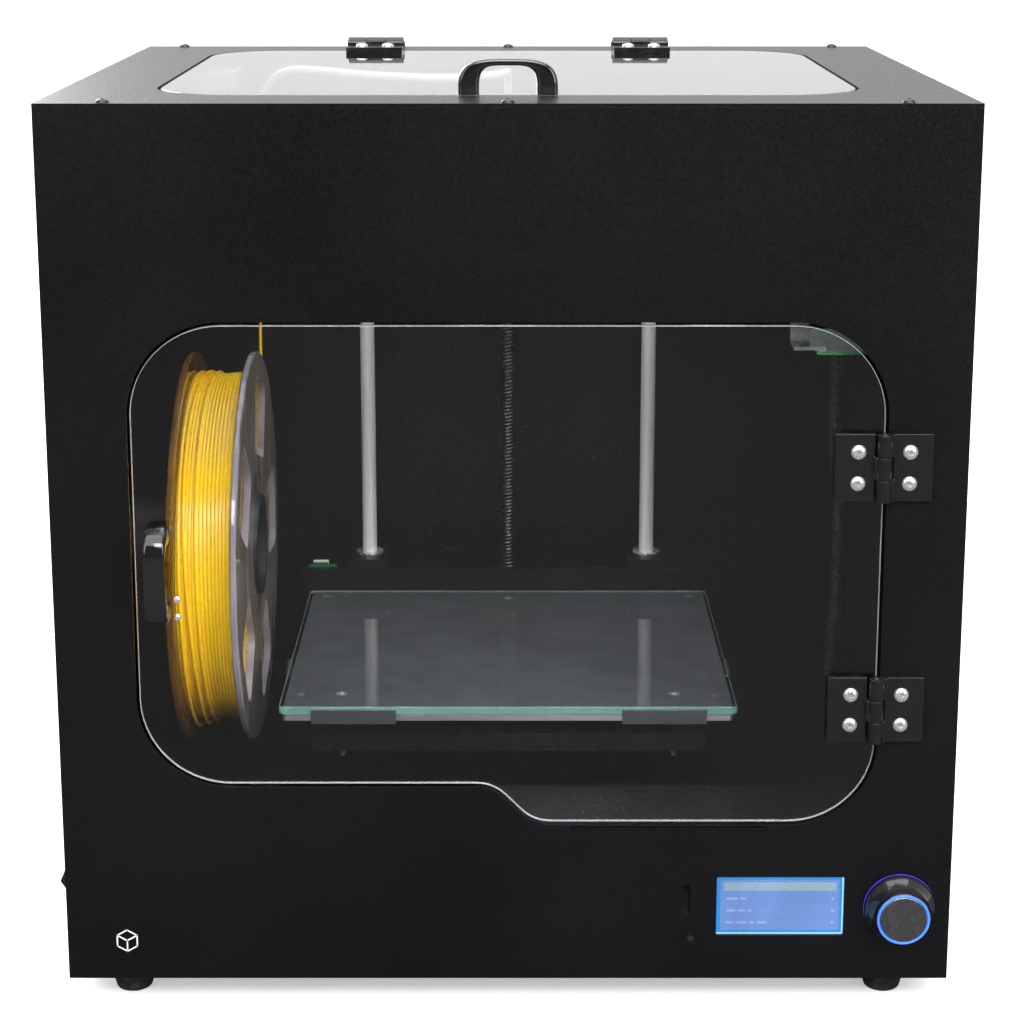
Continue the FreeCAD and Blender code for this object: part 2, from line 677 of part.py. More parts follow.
rocker = doc.addObject("PartDesign::Body", "Rocker")
rocker_sketch = sketch_on(rocker, "RockerSketch", "XZ_Plane", "-front - inlet_rear + 3.3")
outline(rocker_sketch, [
    ("-side + 4", "base + rocker_pivot - 3", "0"), ("-side - bezel - 0.6", "base + rocker_low", "0.4"),
    ("-side - bezel - 3.2", "base + rocker_low + 4", "1"), ("-side - bezel", "base + rocker_high", "0.4"),
    ("-side + 4", "base + rocker_pivot + 3", "0"),
])
rocker_pad = rocker.newObject("PartDesign::Pad", "RockerPad")
rocker_pad.Profile = rocker_sketch
rocker_pad.setExpression("Length", expand("inlet_rear - inlet_front - 6.6"))
rocker.Tip = rocker_pad
node("rocker_switch", rocker)

main_board = join(
    "MainBoard",
    block("BoardSheet", ("50", "front + 90", "base + 6"), ("180", "front + 190", "base + 7.6")),
    block("BoardChips", ("60", "front + 110", "base + 7.6"), ("120", "front + 150", "base + 18")),
    block("BoardPlugs", ("60", "front + 176", "base + 7.6"), ("170", "front + 188", "base + 17")),
    *[rod("BoardPost%d" % n, (x, y, "base + steel"), "3", "4.5")
      for n, (x, y) in enumerate([(p, q) for p in ("56", "174") for q in ("front + 96", "front + 184")])],
)
node("main_board", main_board)
node("power_supply", block(
    "PowerSupply", ("-165", "front + 70", "base + steel"), ("-55", "front + 250", "base + 33")
))


# ---- fixed motion parts ----

z_rods = [
    rod("ZRod%d" % n, (x, "front + z_rod_y", "deck + 0.1"), "rod_radius", "z_rod_top - deck_high - 2")
    for n, x in enumerate(("-z_rod_x", "z_rod_x"))
]
y_rods = [
    rod("YRod%d" % n, (x, "front + 12", "base + y_rod_z"), "rod_radius", "y_rod_end - 12", ALONG_Y)
    for n, x in enumerate(("-y_rod_x", "y_rod_x"))
]
node("guide_rods", together("GuideRods", *z_rods, *y_rods))

clamps = []
for side, sign in (("Left", -1), ("Right", 1)):
    x = "(%d) * z_rod_x" % sign
    foot_block = block(
        "ZFoot" + side, (x + " - 12", "front + z_rod_y - 12", "deck"),
        (x + " + 12", "front + z_rod_y + 12", "deck + 11"),
    )
    head_block = block(
        "ZHead" + side, (x + " - 12", "front + z_rod_y - 12", "base + z_rod_top - 9"),
        (x + " + 12", "rear - steel - 0.1", "base + z_rod_top + 1"),
    )
    way = rod("ZWay" + side, (x, "front + z_rod_y", "base"), "rod_radius + 0.02", "case_high")
    clamps += [cut("ZFootClamp" + side, foot_block, way)]
    way_up = rod("ZWayUp" + side, (x, "front + z_rod_y", "base"), "rod_radius + 0.02", "case_high")
    clamps += [cut("ZHeadClamp" + side, head_block, way_up)]
    x = "(%d) * y_rod_x" % sign
    rear_block = block(
        "YRear" + side, (x + " - 11", "front + y_rod_end - 10", "base + y_rod_z - 11"),
        (x + " + 11", "rear - steel - fold - 0.1", "base + y_rod_z + 5"),
    )
    front_block = block(
        "YFront" + side, (x + " - 11", "front + steel + fold + 0.1", "base + y_rod_z - 11"),
        (x + " + 11", "front + 24", "base + y_rod_z + 6.5"),
    )
    rear_way = rod(
        "YRearWay" + side, (x, "front + 12", "base + y_rod_z"), "rod_radius + 0.02",
        "y_rod_end - 11.9", ALONG_Y,
    )
    front_way = rod(
        "YFrontWay" + side, (x, "front + 11.9", "base + y_rod_z"), "rod_radius + 0.02",
        "y_rod_end", ALONG_Y,
    )
    shaft_way = rod(
        "ShaftWay" + side, (x + " - 12", "front + drive_y", "base + y_rod_z"), "rod_radius + fit",
        "24", ALONG_X,
    )
    clamps.append(cut("YRearClamp" + side, rear_block, rear_way, shaft_way))
    pin_x = "belt_x - 4.9" if sign > 0 else "-belt_x - 3.1"
    idler_pin = rod("IdlerPin" + side, (pin_x, "front + idler_y", "base + y_rod_z"), "2", "8", ALONG_X)
    clamps.append(join("YFrontEnd" + side, cut("YFrontClamp" + side, front_block, front_way), idler_pin))
tube_clip = block(
    "TubeClip", ("strand_x - 6", "front + tube_y - 6", "base + 286"),
    ("strand_x + 6", "rear - steel - 0.1", "base + 296"),
)
clip_way = rod("ClipWay", ("strand_x", "front + tube_y", "base + 280"), "tube_radius + 0.05", "30")
clamps.append(cut("TubeHolder", tube_clip, clip_way))
node("rod_clamps", together("RodClamps", *clamps))


def stepper(name, centre, long, turn, bore=None, shaft=None):
    """A square stepper standing on its centre point along its own Z, with a shaft stub or a bore."""
    body = doc.addObject("PartDesign::Body", name)
    sketch = sketch_on(body, name + "_sketch", "XY_Plane", "0")
    chamfered = []
    for across, up in ((-1, -1), (1, -1), (1, 1), (-1, 1)):
        near = ("(%d) * motor / 2" % across, "(%d) * (motor / 2 - 4)" % up, "0")
        far = ("(%d) * (motor / 2 - 4)" % across, "(%d) * motor / 2" % up, "0")
        chamfered += [near, far]
    outline(sketch, order_round(chamfered))
    if bore:
        round_hole(sketch, "0", "0", bore)
    pad = body.newObject("PartDesign::Pad", name + "_pad")
    pad.Profile = sketch
    pad.setExpression("Length", expand(long))
    body.Tip = pad
    if shaft:
        stub = sketch_on(body, name + "_stub_sketch", "XY_Plane", long)
        round_hole(stub, "0", "0", "2.5")
        stub_pad = body.newObject("PartDesign::Pad", name + "_stub")
        stub_pad.Profile = stub
        stub_pad.setExpression("Length", expand(shaft))
        body.Tip = stub_pad
    return place(body, centre, turn)


def order_round(corners):
    """Corners sorted by their angle about the origin, so that their loop doesn't cross itself."""
    return sorted(corners, key=lambda corner: math.atan2(value(corner[1]), value(corner[0])))


z_motor = stepper(
    "ZMotor", ("0", "front + z_rod_y", "base + steel"), "deck_high - steel - 0.5", UPRIGHT, shaft="14"
)
y_motor = stepper(
    "YMotor", ("100", "front + drive_y", "base + y_rod_z"), "motor_deep", ALONG_X, bore="rod_radius + 0.1"
)
node("frame_motors", together("FrameMotors", z_motor, y_motor))


def belt(name, plane, low, first, second, level):
    """A flat belt loop round two pulleys, from first to second along a level line of a plane."""
    loops = []
    for reach in ("(pulley + 0.1 + belt_thick)", "(pulley + 0.1)"):
        loops.append(rectangle(
            first + " - " + reach, second + " + " + reach,
            level + " - " + reach, level + " + " + reach, "0.98 * " + reach,
        ))
    return plate(name, plane, low, "belt_wide", loops)


y_belt = belt(
    "YBelt", "YZ_Plane", "belt_x - belt_wide / 2",
    "front + idler_y", "front + drive_y", "base + y_rod_z",
)
y_roller = ring(
    "YRoller", ("belt_x - belt_wide / 2", "front + idler_y", "base + y_rod_z"), "pulley", "2 + fit",
    "belt_wide", ALONG_X,
)
node("y_belts", together(
    "YBelts", y_belt, y_roller, mirrored("YBeltLeft", y_belt), mirrored("YRollerLeft", y_roller)
))

light_board = block(
    "LightBoard", ("134", "front + 10", "base + 288.5"), ("156", "front + 60", "base + 290.1")
)
light_bracket = join(
    "LightBracket",
    block("BracketFlat", ("124", "front + 12", "base + 290.1"), ("138", "front + 26", "base + 291.6")),
    block("BracketUp", ("124", "front + 24.5", "base + 290.1"), ("132", "front + 26", "base + 311.5")),
    block("BracketEnd", ("124", "front + steel + 0.1", "base + 310"), ("132", "front + 26", "base + 311.5")),
)
node("light_board", together("LightParts", light_board, light_bracket))

loom_points = [(186, 143, 52.8), (185.5, 143, 72), (188, 142, 100), (188.6, 142.6, 136),
               (187, 143, 172), (184.4, 143.4, 206), (184.6, 143.2, 246), (184, 143, 282), (184, 143, 345.8)]
node("wire_loom", fixed_shape("WireLoom", bent_line(loom_points, 3, 0.45)))

holder_plate = rod(
    "HolderPlate", ("-inside + 0.1", "front + spool_y", "base + spool_z"), "34", "4", ALONG_X
)
holder_arm = rod(
    "HolderArm", ("-inside + 2", "front + spool_y", "base + spool_z"), "hub_bore - 0.1",
    "inside + spool_right", ALONG_X,
)
holder_core = rod(
    "HolderCore", ("-inside + 8", "front + spool_y", "base + spool_z"), "hub_bore - 5",
    "inside", ALONG_X,
)
node("spool_holder", cut("SpoolHolder", join("HolderSolid", holder_plate, holder_arm), holder_core))

tube_points = [(-137, 130.75, 300), (-137, 130.75, 346), (-135, 127, 384), (-122, 106, 402),
               (-98, 68, 405), (-72, 34, 405), (-38, 14, 405), (-10, 32, 405),
               (0, 60, 404.5), (0, 80.75, 402), (0, 80.75, 388)]
strand_low, strand_rise = Vector(-137, 118.4, 166), Vector(0, 12.35, 133)
strand = Part.makeCylinder(value("strand_radius"), strand_rise.Length - 0.4, strand_low, strand_rise)
node("filament_run", fixed_shape("FilamentRun", Part.makeCompound([
    strand, bent_line(tube_points, value("tube_radius"), 0.45),
])))


# ---- bed ----

LEVEL_SPOTS = [("-level_x", "front + level_y"), ("level_x", "front + level_y"), ("0", "front + level_rear")]
tray = plate(
    "Tray", "XY_Plane", "base + carriage_top - carriage_thick", "carriage_thick",
    [
        rectangle("-carriage_half", "carriage_half", "front + carriage_front", "front + carriage_rear", "2"),
        rectangle("-60", "60", "front + 120", "front + 225", "10"),
    ],
    [(across, deep, "2") for across, deep in LEVEL_SPOTS],
)
lip = block(
    "TrayLip", ("-carriage_half", "front + carriage_front", "base + carriage_top - lip_drop"),
    ("carriage_half", "front + carriage_front + 2", "base + carriage_top - 1"),
)
flanks = [
    block("TrayFlank%d" % n, (x, "front + carriage_front", "base + carriage_top - lip_drop"),
          (x + " + 2", "front + carriage_rear", "base + carriage_top - 1"))
    for n, x in enumerate(("-carriage_half", "carriage_half - 2"))
]
back = block(
    "TrayBack", ("-114", "front + carriage_rear", "base + 72"),
    ("carriage_half", "front + carriage_rear + 3", "base + bearing_top - 6"),
)
back_notch = block(
    "BackNotch", ("-115", "front + carriage_rear - 1", "base + 71"),
    ("-carriage_half", "front + carriage_rear + 4", "base + 92"),
)
nut_shelf = block(
    "NutShelf", ("-14", "front + carriage_rear", "base + 92"),
    ("14", "front + z_rod_y + 13", "base + 96"),
)
housings = []
for n, x in enumerate(("-z_rod_x", "z_rod_x")):
    housings.append(block(
        "Housing%d" % n,
        (x + " - housing / 2", "front + carriage_rear", "base + bearing_top - bearing_long - 2"),
        (x + " + housing / 2", "front + z_rod_y + housing / 2", "base + bearing_top - 0.8"),
    ))
bed_solid = join("BedSolid", tray, lip, *flanks, back, nut_shelf, *housings)
bed_ways = [
    rod("BearingWay%d" % n, (x, "front + z_rod_y", "base + 60"), "bearing_radius + 0.02", "80")
    for n, x in enumerate(("-z_rod_x", "z_rod_x"))
]
nut_way = rod("NutWay", ("0", "front + z_rod_y", "base + 60"), "5.15", "60")
node("bed_carriage", cut("BedCarriage", bed_solid, *bed_ways, nut_way, back_notch))

bearings = [
    ring("Bearing%d" % n, (x, "front + z_rod_y", "base + bearing_top - bearing_long"),
         "bearing_radius", "rod_radius + fit", "bearing_long")
    for n, x in enumerate(("-z_rod_x", "z_rod_x"))
]
nut_flange = rod("NutFlange", ("0", "front + z_rod_y", "base + 88.5"), "11", "3.4")
nut_barrel = rod("NutBarrel", ("0", "front + z_rod_y", "base + 80"), "5.1", "24")
nut_bore = rod("NutBore", ("0", "front + z_rod_y", "base + 70"), "screw_radius + 0.08", "50")
lead_nut = cut("LeadNut", join("NutSolid", nut_flange, nut_barrel), nut_bore)
node("bed_bearings", together("BedBearings", *bearings, lead_nut))

node("heat_bed", plate(
    "HeatBed", "XY_Plane", "base + glass_top - glass_thick - heater_thick", "heater_thick",
    [rectangle("-heater_half", "heater_half", "front + glass_front", "front + glass_rear - 0.5", "2")],
    [(across, deep, "3") for across, deep in LEVEL_SPOTS]
    + [(x, y, "3.4") for x in ("-100", "100") for y in ("front + 96", "front + 253")],
))
node("glass_plate", plate(
    "GlassPlate", "XY_Plane", "base + glass_top - glass_thick", "glass_thick",
    [rectangle("-glass_half", "glass_half", "front + glass_front", "front + glass_rear", "2.5")],
))


front_clips = []
for n, (low, high) in enumerate((("-94.3", "-53.6"), ("54.6", "95.2"))):
    wall = block("ClipWall%d" % n, (low, "front + glass_front - 1.3", "base + 94.2"),
                 (high, "front + glass_front - 0.1", "base + 101.4"))
    sole = block("ClipSole%d" % n, (low, "front + glass_front - 1.3", "base + 94.2"),
                 (high, "front + glass_front + 5", "base + 95.5"))
    front_clips.append(join("FrontClip%d" % n, wall, sole))
side_wall = block("SideClipWall", ("glass_half + 0.1", "front + 134", "base + 94.2"),
                  ("glass_half + 1.6", "front + 150", "base + 101.4"))
side_sole = block("SideClipSole", ("glass_half - 8", "front + 134", "base + 94.2"),
                  ("glass_half + 1.6", "front + 150", "base + 95.5"))
side_clip = join("SideClip", side_wall, side_sole)
node("bed_clips", together("BedClips", *front_clips, side_clip, mirrored("SideClipLeft", side_clip)))

level_parts = []
for n, (across, deep) in enumerate(LEVEL_SPOTS):
    head = doc.addObject("Part::Cone", "LevelHead%d" % n)
    head.Radius1 = 1.5
    head.Radius2 = 2.8
    head.Height = 1.5
    place(head, (across, deep, "base + glass_top - glass_thick - 1.6"))
    shank = rod("LevelShank%d" % n, (across, deep, "base + 70"), "1.5", "27.2")
    level_parts.append(join("LevelScrew%d" % n, head, shank))
    for coil in range(4):
        torus = doc.addObject("Part::Torus", "Coil%d_%d" % (n, coil))
        torus.Radius1 = 3.4
        torus.Radius2 = 0.5
        place(torus, (across, deep, "base + carriage_top + 0.6 + %g" % (coil * 2.1)))
        level_parts.append(torus)
node("level_screws", together("LevelScrews", *level_parts))

plug_board = block("PlugBoard", ("-111.1", "front + carriage_rear + 3.1", "base + 93"),
                   ("-95.7", "front + carriage_rear + 4.7", "base + 116"))
plug = block("Plug", ("-108.7", "front + carriage_rear + 4.7", "base + 105"),
             ("-100.3", "front + carriage_rear + 10", "base + 117"))
node("bed_connector", join("BedConnector", plug_board, plug))

for n, (across, deep) in enumerate(LEVEL_SPOTS):
    wheel = turned(
        "Wheel%d" % n,
        [
            ("1.5 + fit", "0", "0"), ("wheel_radius", "0", "0.6"), ("wheel_radius", "5", "0.6"),
            ("4", "5", "0"), ("4", "8", "0"), ("1.5 + fit", "8", "0"),
        ],
        (across, deep, "base + 76.5"),
    )
    groove_sketch = sketch_on(wheel, "WheelGroove%d" % n, "XY_Plane", "0")
    round_hole(groove_sketch, "wheel_radius + 0.6", "0", "1.2")
    groove = wheel.newObject("PartDesign::Pocket", "WheelPocket%d" % n)
    groove.Profile = groove_sketch
    groove.Type = "ThroughAll"
    groove.Reversed = True
    wheel.Tip = groove
    knurl = wheel.newObject("PartDesign::PolarPattern", "WheelKnurl%d" % n)
    knurl.Originals = [groove]
    knurl.Axis = (groove_sketch, ["N_Axis"])
    knurl.Angle = 360
    knurl.Occurrences = 16
    wheel.Tip = knurl
    node("thumb_wheel_%d" % (n + 1), wheel)

coupler_ring = ring(
    "Coupler", ("0", "front + z_rod_y", "deck - 1"), "coupler", "2.5 + fit", "24"
)
screw_rod = rod(
    "ScrewRod", ("0", "front + z_rod_y", "deck + 14.5"), "screw_radius", "z_rod_top - deck_high - 18"
)
node("lead_screw", join("LeadScrew", coupler_ring, screw_rod))


# ---- gantry ----

ends = []
for side, sign in (("Left", -1), ("Right", 1)):
    inner, outer = ("block_in", "block_out") if sign > 0 else ("-block_out", "-block_in")
    core = block(
        "EndBlock" + side, (inner, "front + gantry - 32", "base + block_low"),
        (outer, "front + gantry + 30", "base + block_high"),
    )
    grip_x = ("block_out - 1", "belt_x + 3") if sign > 0 else ("-belt_x - 3", "-block_out + 1")
    jaws = [
        block("Jaw%s%d" % (side, n), (grip_x[0], "front + gantry - 8", "base + y_rod_z " + low),
              (grip_x[1], "front + gantry + 8", "base + y_rod_z " + high))
        for n, (low, high) in enumerate((("- 10.5", "- 7.5"), ("- 5.4", "- 3")))
    ]
    if sign < 0:
        arm = block(
            "MotorArm", ("-x_pulley_x - motor / 2", "front + gantry + x_pulley_y - motor / 2", "base + 349"),
            ("-x_pulley_x + motor / 2", "front + gantry + x_pulley_y + motor / 2", "base + x_motor_low"),
        )
        hole = rod(
            "MotorArmHole", ("-x_pulley_x", "front + gantry + x_pulley_y", "base + 340"), "8", "30"
        )
        extra = cut("MotorMount", arm, hole)
    else:
        arm = block(
            "IdlerArm", ("x_pulley_x - 8", "front + gantry + 20", "base + 349"),
            ("block_out", "front + gantry + x_pulley_y + 8", "base + 353"),
        )
        pin = rod(
            "XIdlerPin", ("x_pulley_x", "front + gantry + x_pulley_y", "base + x_belt_z - 4"), "2", "13"
        )
        extra = join("IdlerMount", arm, pin)
    way = rod(
        "BlockWay" + side, ("(%d) * y_rod_x" % sign, "front", "base + y_rod_z"), "rod_radius + fit",
        "case_deep", ALONG_Y,
    )
    solid = join("EndSolid" + side, core, *jaws, extra)
    own_ways = [
        rod("EndXWay%s%d" % (side, n), ("-block_out + 3", "front + gantry " + shift, "base + x_rod_z"),
            "rod_radius + 0.02", "2 * block_out - 6", ALONG_X)
        for n, shift in enumerate(("- x_rod_apart", "+ x_rod_apart"))
    ]
    ends.append(cut("GantryEnd" + side, solid, way, *own_ways))
node("gantry_ends", together("GantryEnds", *ends))
node("x_rods", together("XRods", *[
    rod("XRod%d" % n, ("-block_out + 3", "front + gantry " + shift, "base + x_rod_z"),
        "rod_radius", "2 * block_out - 6", ALONG_X)
    for n, shift in enumerate(("- x_rod_apart", "+ x_rod_apart"))
]))
x_motor = stepper(
    "XMotor", ("-x_pulley_x", "front + gantry + x_pulley_y", "base + x_motor_low + motor_deep"),
    "motor_deep", FreeCAD.Rotation(Vector(1, 0, 0), 180), shaft="16",
)
node("x_motor", x_motor)
x_belt = belt(
    "XBelt", "XY_Plane", "base + x_belt_z - belt_wide / 2",
    "-x_pulley_x", "x_pulley_x", "front + gantry + x_pulley_y",
)
x_roller = ring(
    "XRoller", ("x_pulley_x", "front + gantry + x_pulley_y", "base + x_belt_z - belt_wide / 2"),
    "pulley", "2 + fit", "belt_wide",
)
node("x_belt", together("XBeltParts", x_belt, x_roller))
node("x_pulley", ring(
    "XPulley", ("-x_pulley_x", "front + gantry + x_pulley_y", "base + x_belt_z - 4"),
    "pulley", "2.5 + fit", "9",
))
drive_rod = rod(
    "DriveRod", ("-inside + 1.2", "front + drive_y", "base + y_rod_z"), "rod_radius",
    "2 * inside - 2.4", ALONG_X,
)
drive_pulley = rod(
    "DrivePulley", ("belt_x - 3.2", "front + drive_y", "base + y_rod_z"), "pulley", "6.4", ALONG_X
)
node("drive_shaft", join(
    "DriveShaft", drive_rod, drive_pulley, mirrored("DrivePulleyLeft", drive_pulley)
))


# ---- print head ----

head_block = block(
    "HeadBlock", ("-head_half", "front + gantry - 33", "base + head_low"),
    ("head_half", "front + gantry + 29", "base + head_high"),
)
head_back = block(
    "HeadBack", ("-27", "front + gantry + 8", "base + head_high - 1"),
    ("20", "front + gantry + 13", "base + 372"),
)
inlet_boss = block(
    "InletBoss", ("-5", "front + gantry - 5", "base + 366"), ("5", "front + gantry + 13", "base + 374")
)
belt_grip = block(
    "BeltGrip", ("-10", "front + gantry + 24", "base + head_high - 1"),
    ("10", "front + gantry + 34.6", "base + x_belt_z + 4"),
)
grip_slot = block(
    "GripSlot", ("-11", "front + gantry + 30.45", "base + x_belt_z - 3.4"),
    ("11", "front + gantry + 32.65", "base + x_belt_z + 3.4"),
)
lever_pin = rod("LeverPin", ("lever_x", "front + gantry - 5", "base + lever_z"), "2", "14", ALONG_Y)
head_ways = [
    rod("HeadWay%d" % n, ("-block_out", "front + gantry " + shift, "base + x_rod_z"),
        "rod_radius + fit", "2 * block_out", ALONG_X)
    for n, shift in enumerate(("- x_rod_apart", "+ x_rod_apart"))
]
throat = rod("Throat", ("0", "front + gantry", "base + 300"), "8", "40")
tube_way = rod("TubeWay", ("0", "front + gantry", "base + 360"), "1.2", "20")
node("head_carriage", cut(
    "HeadCarriage", join("HeadSolid", head_block, head_back, inlet_boss, belt_grip, lever_pin),
    *head_ways, throat, tube_way, grip_slot,
))
node("feed_motor", stepper(
    "FeedMotor", ("gear_x", "front + gantry - 42", "base + gear_z"), "motor_deep",
    FreeCAD.Rotation(Vector(1, 0, 0), -90), shaft="14",
))
fins = []
for n in range(7):
    fins += [
        ("sink_radius", "base + 291 + %g" % (n * 3.2), "0"),
        ("sink_radius", "base + 292.4 + %g" % (n * 3.2), "0"),
        ("5.5", "base + 292.4 + %g" % (n * 3.2), "0"),
        ("5.5", "base + 294.2 + %g" % (n * 3.2), "0"),
    ]
hot_core = turned(
    "HotCore",
    [("1.2", "base + nozzle_tip", "0"), ("2", "base + nozzle_tip", "0"), ("4", "base + nozzle_tip + 3", "0"),
     ("4", "base + 289.6", "0"), ("5.5", "base + 291", "0"), *fins[:20], ("7.8", "base + 307", "0"),
     ("7.8", "base + 334", "0"), ("1.2", "base + 334", "0")],
    ("0", "front + gantry", "0"),
)
heater_block = block(
    "HeaterBlock", ("-8", "front + gantry - 8", "base + 283.2"), ("10", "front + gantry + 8", "base + 289.4")
)
heater_way = rod("HeaterWay", ("0", "front + gantry", "base + 270"), "1.2", "40")
node("hot_end", join("HotEnd", hot_core, cut("HeaterShell", heater_block, heater_way)))


def gantry_y(shift):
    """A depth measured from the middle of the gantry."""
    return "front + gantry + (%s)" % shift


fan_box = block(
    "FanBox", ("-fan_wide / 2", gantry_y("-sink_radius - 1 - fan_thick"), "base + 284.6"),
    ("fan_wide / 2", gantry_y("-sink_radius - 1"), "base + 284.6 + fan_wide"),
)
fan_hole = rod("FanHole", ("0", gantry_y("-30"), "base + 284.6 + fan_wide / 2"), "13.5", "30", ALONG_Y)
fan_hub = rod(
    "FanHub", ("0", gantry_y("-sink_radius - 2.6"), "base + 284.6 + fan_wide / 2"), "4.5", "1.6", ALONG_Y
)
spokes = block(
    "FanSpokes", ("-14", gantry_y("-sink_radius - 2.6"), "base + 284.6 + fan_wide / 2 - 1"),
    ("14", gantry_y("-sink_radius - 1"), "base + 284.6 + fan_wide / 2 + 1"),
)
fan_pin = rod("FanPin", ("0", gantry_y("-21"), "base + 284.6 + fan_wide / 2"), "1", "8.6", ALONG_Y)
blower = block("Blower", ("16", gantry_y("-20"), "base + 288"), ("29", gantry_y("16"), "base + 313.9"))
duct = block("BlowerDuct", ("12", gantry_y("-6"), "base + 284.6"), ("29", gantry_y("6"), "base + 289"))
fan_shell = cut("FanShell", fan_box, fan_hole)
node("cooling_fans", together(
    "CoolingFans", join("SinkFan", fan_shell, fan_hub, spokes, fan_pin), join("PartBlower", blower, duct)
))

blades = [
    rod("RotorHub", ("0", gantry_y("-21"), "base + 284.6 + fan_wide / 2"), "4.5", "7", ALONG_Y)
]
for n in range(7):
    blade = doc.addObject("Part::Box", "Blade%d" % n)
    blade.Length = 8.6
    blade.Width = 4.6
    blade.Height = 0.8
    spread = FreeCAD.Rotation(Vector(0, 1, 0), n * 360 / 7)
    pitch = FreeCAD.Rotation(Vector(1, 0, 0), 32)
    shift = spread.multVec(Vector(4, 1, -0.4))
    centre = ("%.4f" % shift.x, gantry_y("-20.4 + %.4f" % shift.y),
              "base + 284.6 + fan_wide / 2 + %.4f" % shift.z)
    blades.append(place(blade, centre, spread.multiply(pitch)))
rotor_bore = rod("RotorBore", ("0", gantry_y("-22"), "base + 284.6 + fan_wide / 2"), "1 + fit", "20", ALONG_Y)
node("fan_rotor", cut("FanRotor", join("RotorSolid", *blades), rotor_bore))

node("feed_gear", ring(
    "FeedGear", ("gear_x", gantry_y("-5"), "base + gear_z"), "gear_radius", "2.5 + fit", "10", ALONG_Y
))
lever_bar = block("LeverBar", ("8", gantry_y("-4"), "base + 338"), ("16", gantry_y("4"), "base + 386"))
lever_nose = rod("LeverNose", ("6", gantry_y("-2.5"), "base + gear_z"), "4.6", "5", ALONG_Y)
lever_bore = rod(
    "LeverBore", ("lever_x", gantry_y("-8"), "base + lever_z"), "2 + fit", "20", ALONG_Y
)
node("idler_lever", cut("IdlerLever", join("LeverSolid", lever_bar, lever_nose), lever_bore))


# ---- spool ----

spool = doc.addObject("PartDesign::Body", "Spool")
spool_sketch = sketch_on(spool, "SpoolSketch", "XZ_Plane", "0")
outline(spool_sketch, [
    ("0", "hub_bore", "0"), ("spool_wide", "hub_bore", "0"), ("spool_wide", "spool_radius", "1"),
    ("spool_wide - flange", "spool_radius", "1"), ("spool_wide - flange", "hub_radius", "0"),
    ("flange", "hub_radius", "0"), ("flange", "spool_radius", "1"), ("0", "spool_radius", "1"),
])
spool_spin = spool.newObject("PartDesign::Revolution", "SpoolSpin")
spool_spin.Profile = spool_sketch
spool_spin.ReferenceAxis = (spool_sketch, ["H_Axis"])
spool_spin.Angle = 360
spool.Tip = spool_spin
window_sketch = sketch_on(spool, "SpoolWindow", "YZ_Plane", "0")
outline(window_sketch, [("46", "-20", "7"), ("86", "-24", "9"), ("86", "24", "9"), ("46", "20", "7")])
window = spool.newObject("PartDesign::Pocket", "SpoolPocket")
window.Profile = window_sketch
window.Type = "ThroughAll"
window.Reversed = True
spool.Tip = window
windows = spool.newObject("PartDesign::PolarPattern", "SpoolWindows")
windows.Originals = [window]
windows.Axis = (window_sketch, ["N_Axis"])
windows.Angle = 360
windows.Occurrences = 5
spool.Tip = windows
place(spool, ("spool_right - spool_wide", "front + spool_y", "base + spool_z"))
node("spool", spool)
node("filament_winding", ring(
    "FilamentWinding", ("spool_right - spool_wide + flange + 0.2", "front + spool_y", "base + spool_z"),
    "winding", "hub_radius + 0.2", "spool_wide - 2 * flange - 0.4", ALONG_X,
))


# ---- checks and files ----

doc.recompute()
for thing in doc.Objects:
    if "Invalid" in thing.State or "Error" in thing.State:
        raise ValueError(thing.Name + " failed: " + str(thing.State))
for label, thing in nodes.items():
    if thing.Shape.isNull() or not thing.Shape.isValid() or not thing.Shape.Solids:
        raise ValueError(label + " has no valid shape")
if len(nodes) > 60:
    raise ValueError("too many sub-parts")

os.makedirs("parts", exist_ok=True)
for stale in os.listdir("parts"):
    os.remove(os.path.join("parts", stale))
for label, thing in nodes.items():
    thing.Shape.exportStep("parts/%s.step" % label)
    print("%-20s %3d solids" % (label, len(thing.Shape.Solids)))
print(len(nodes), "nodes")
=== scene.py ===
"""Enclosed desktop filament printer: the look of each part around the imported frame. Metres."""
import math

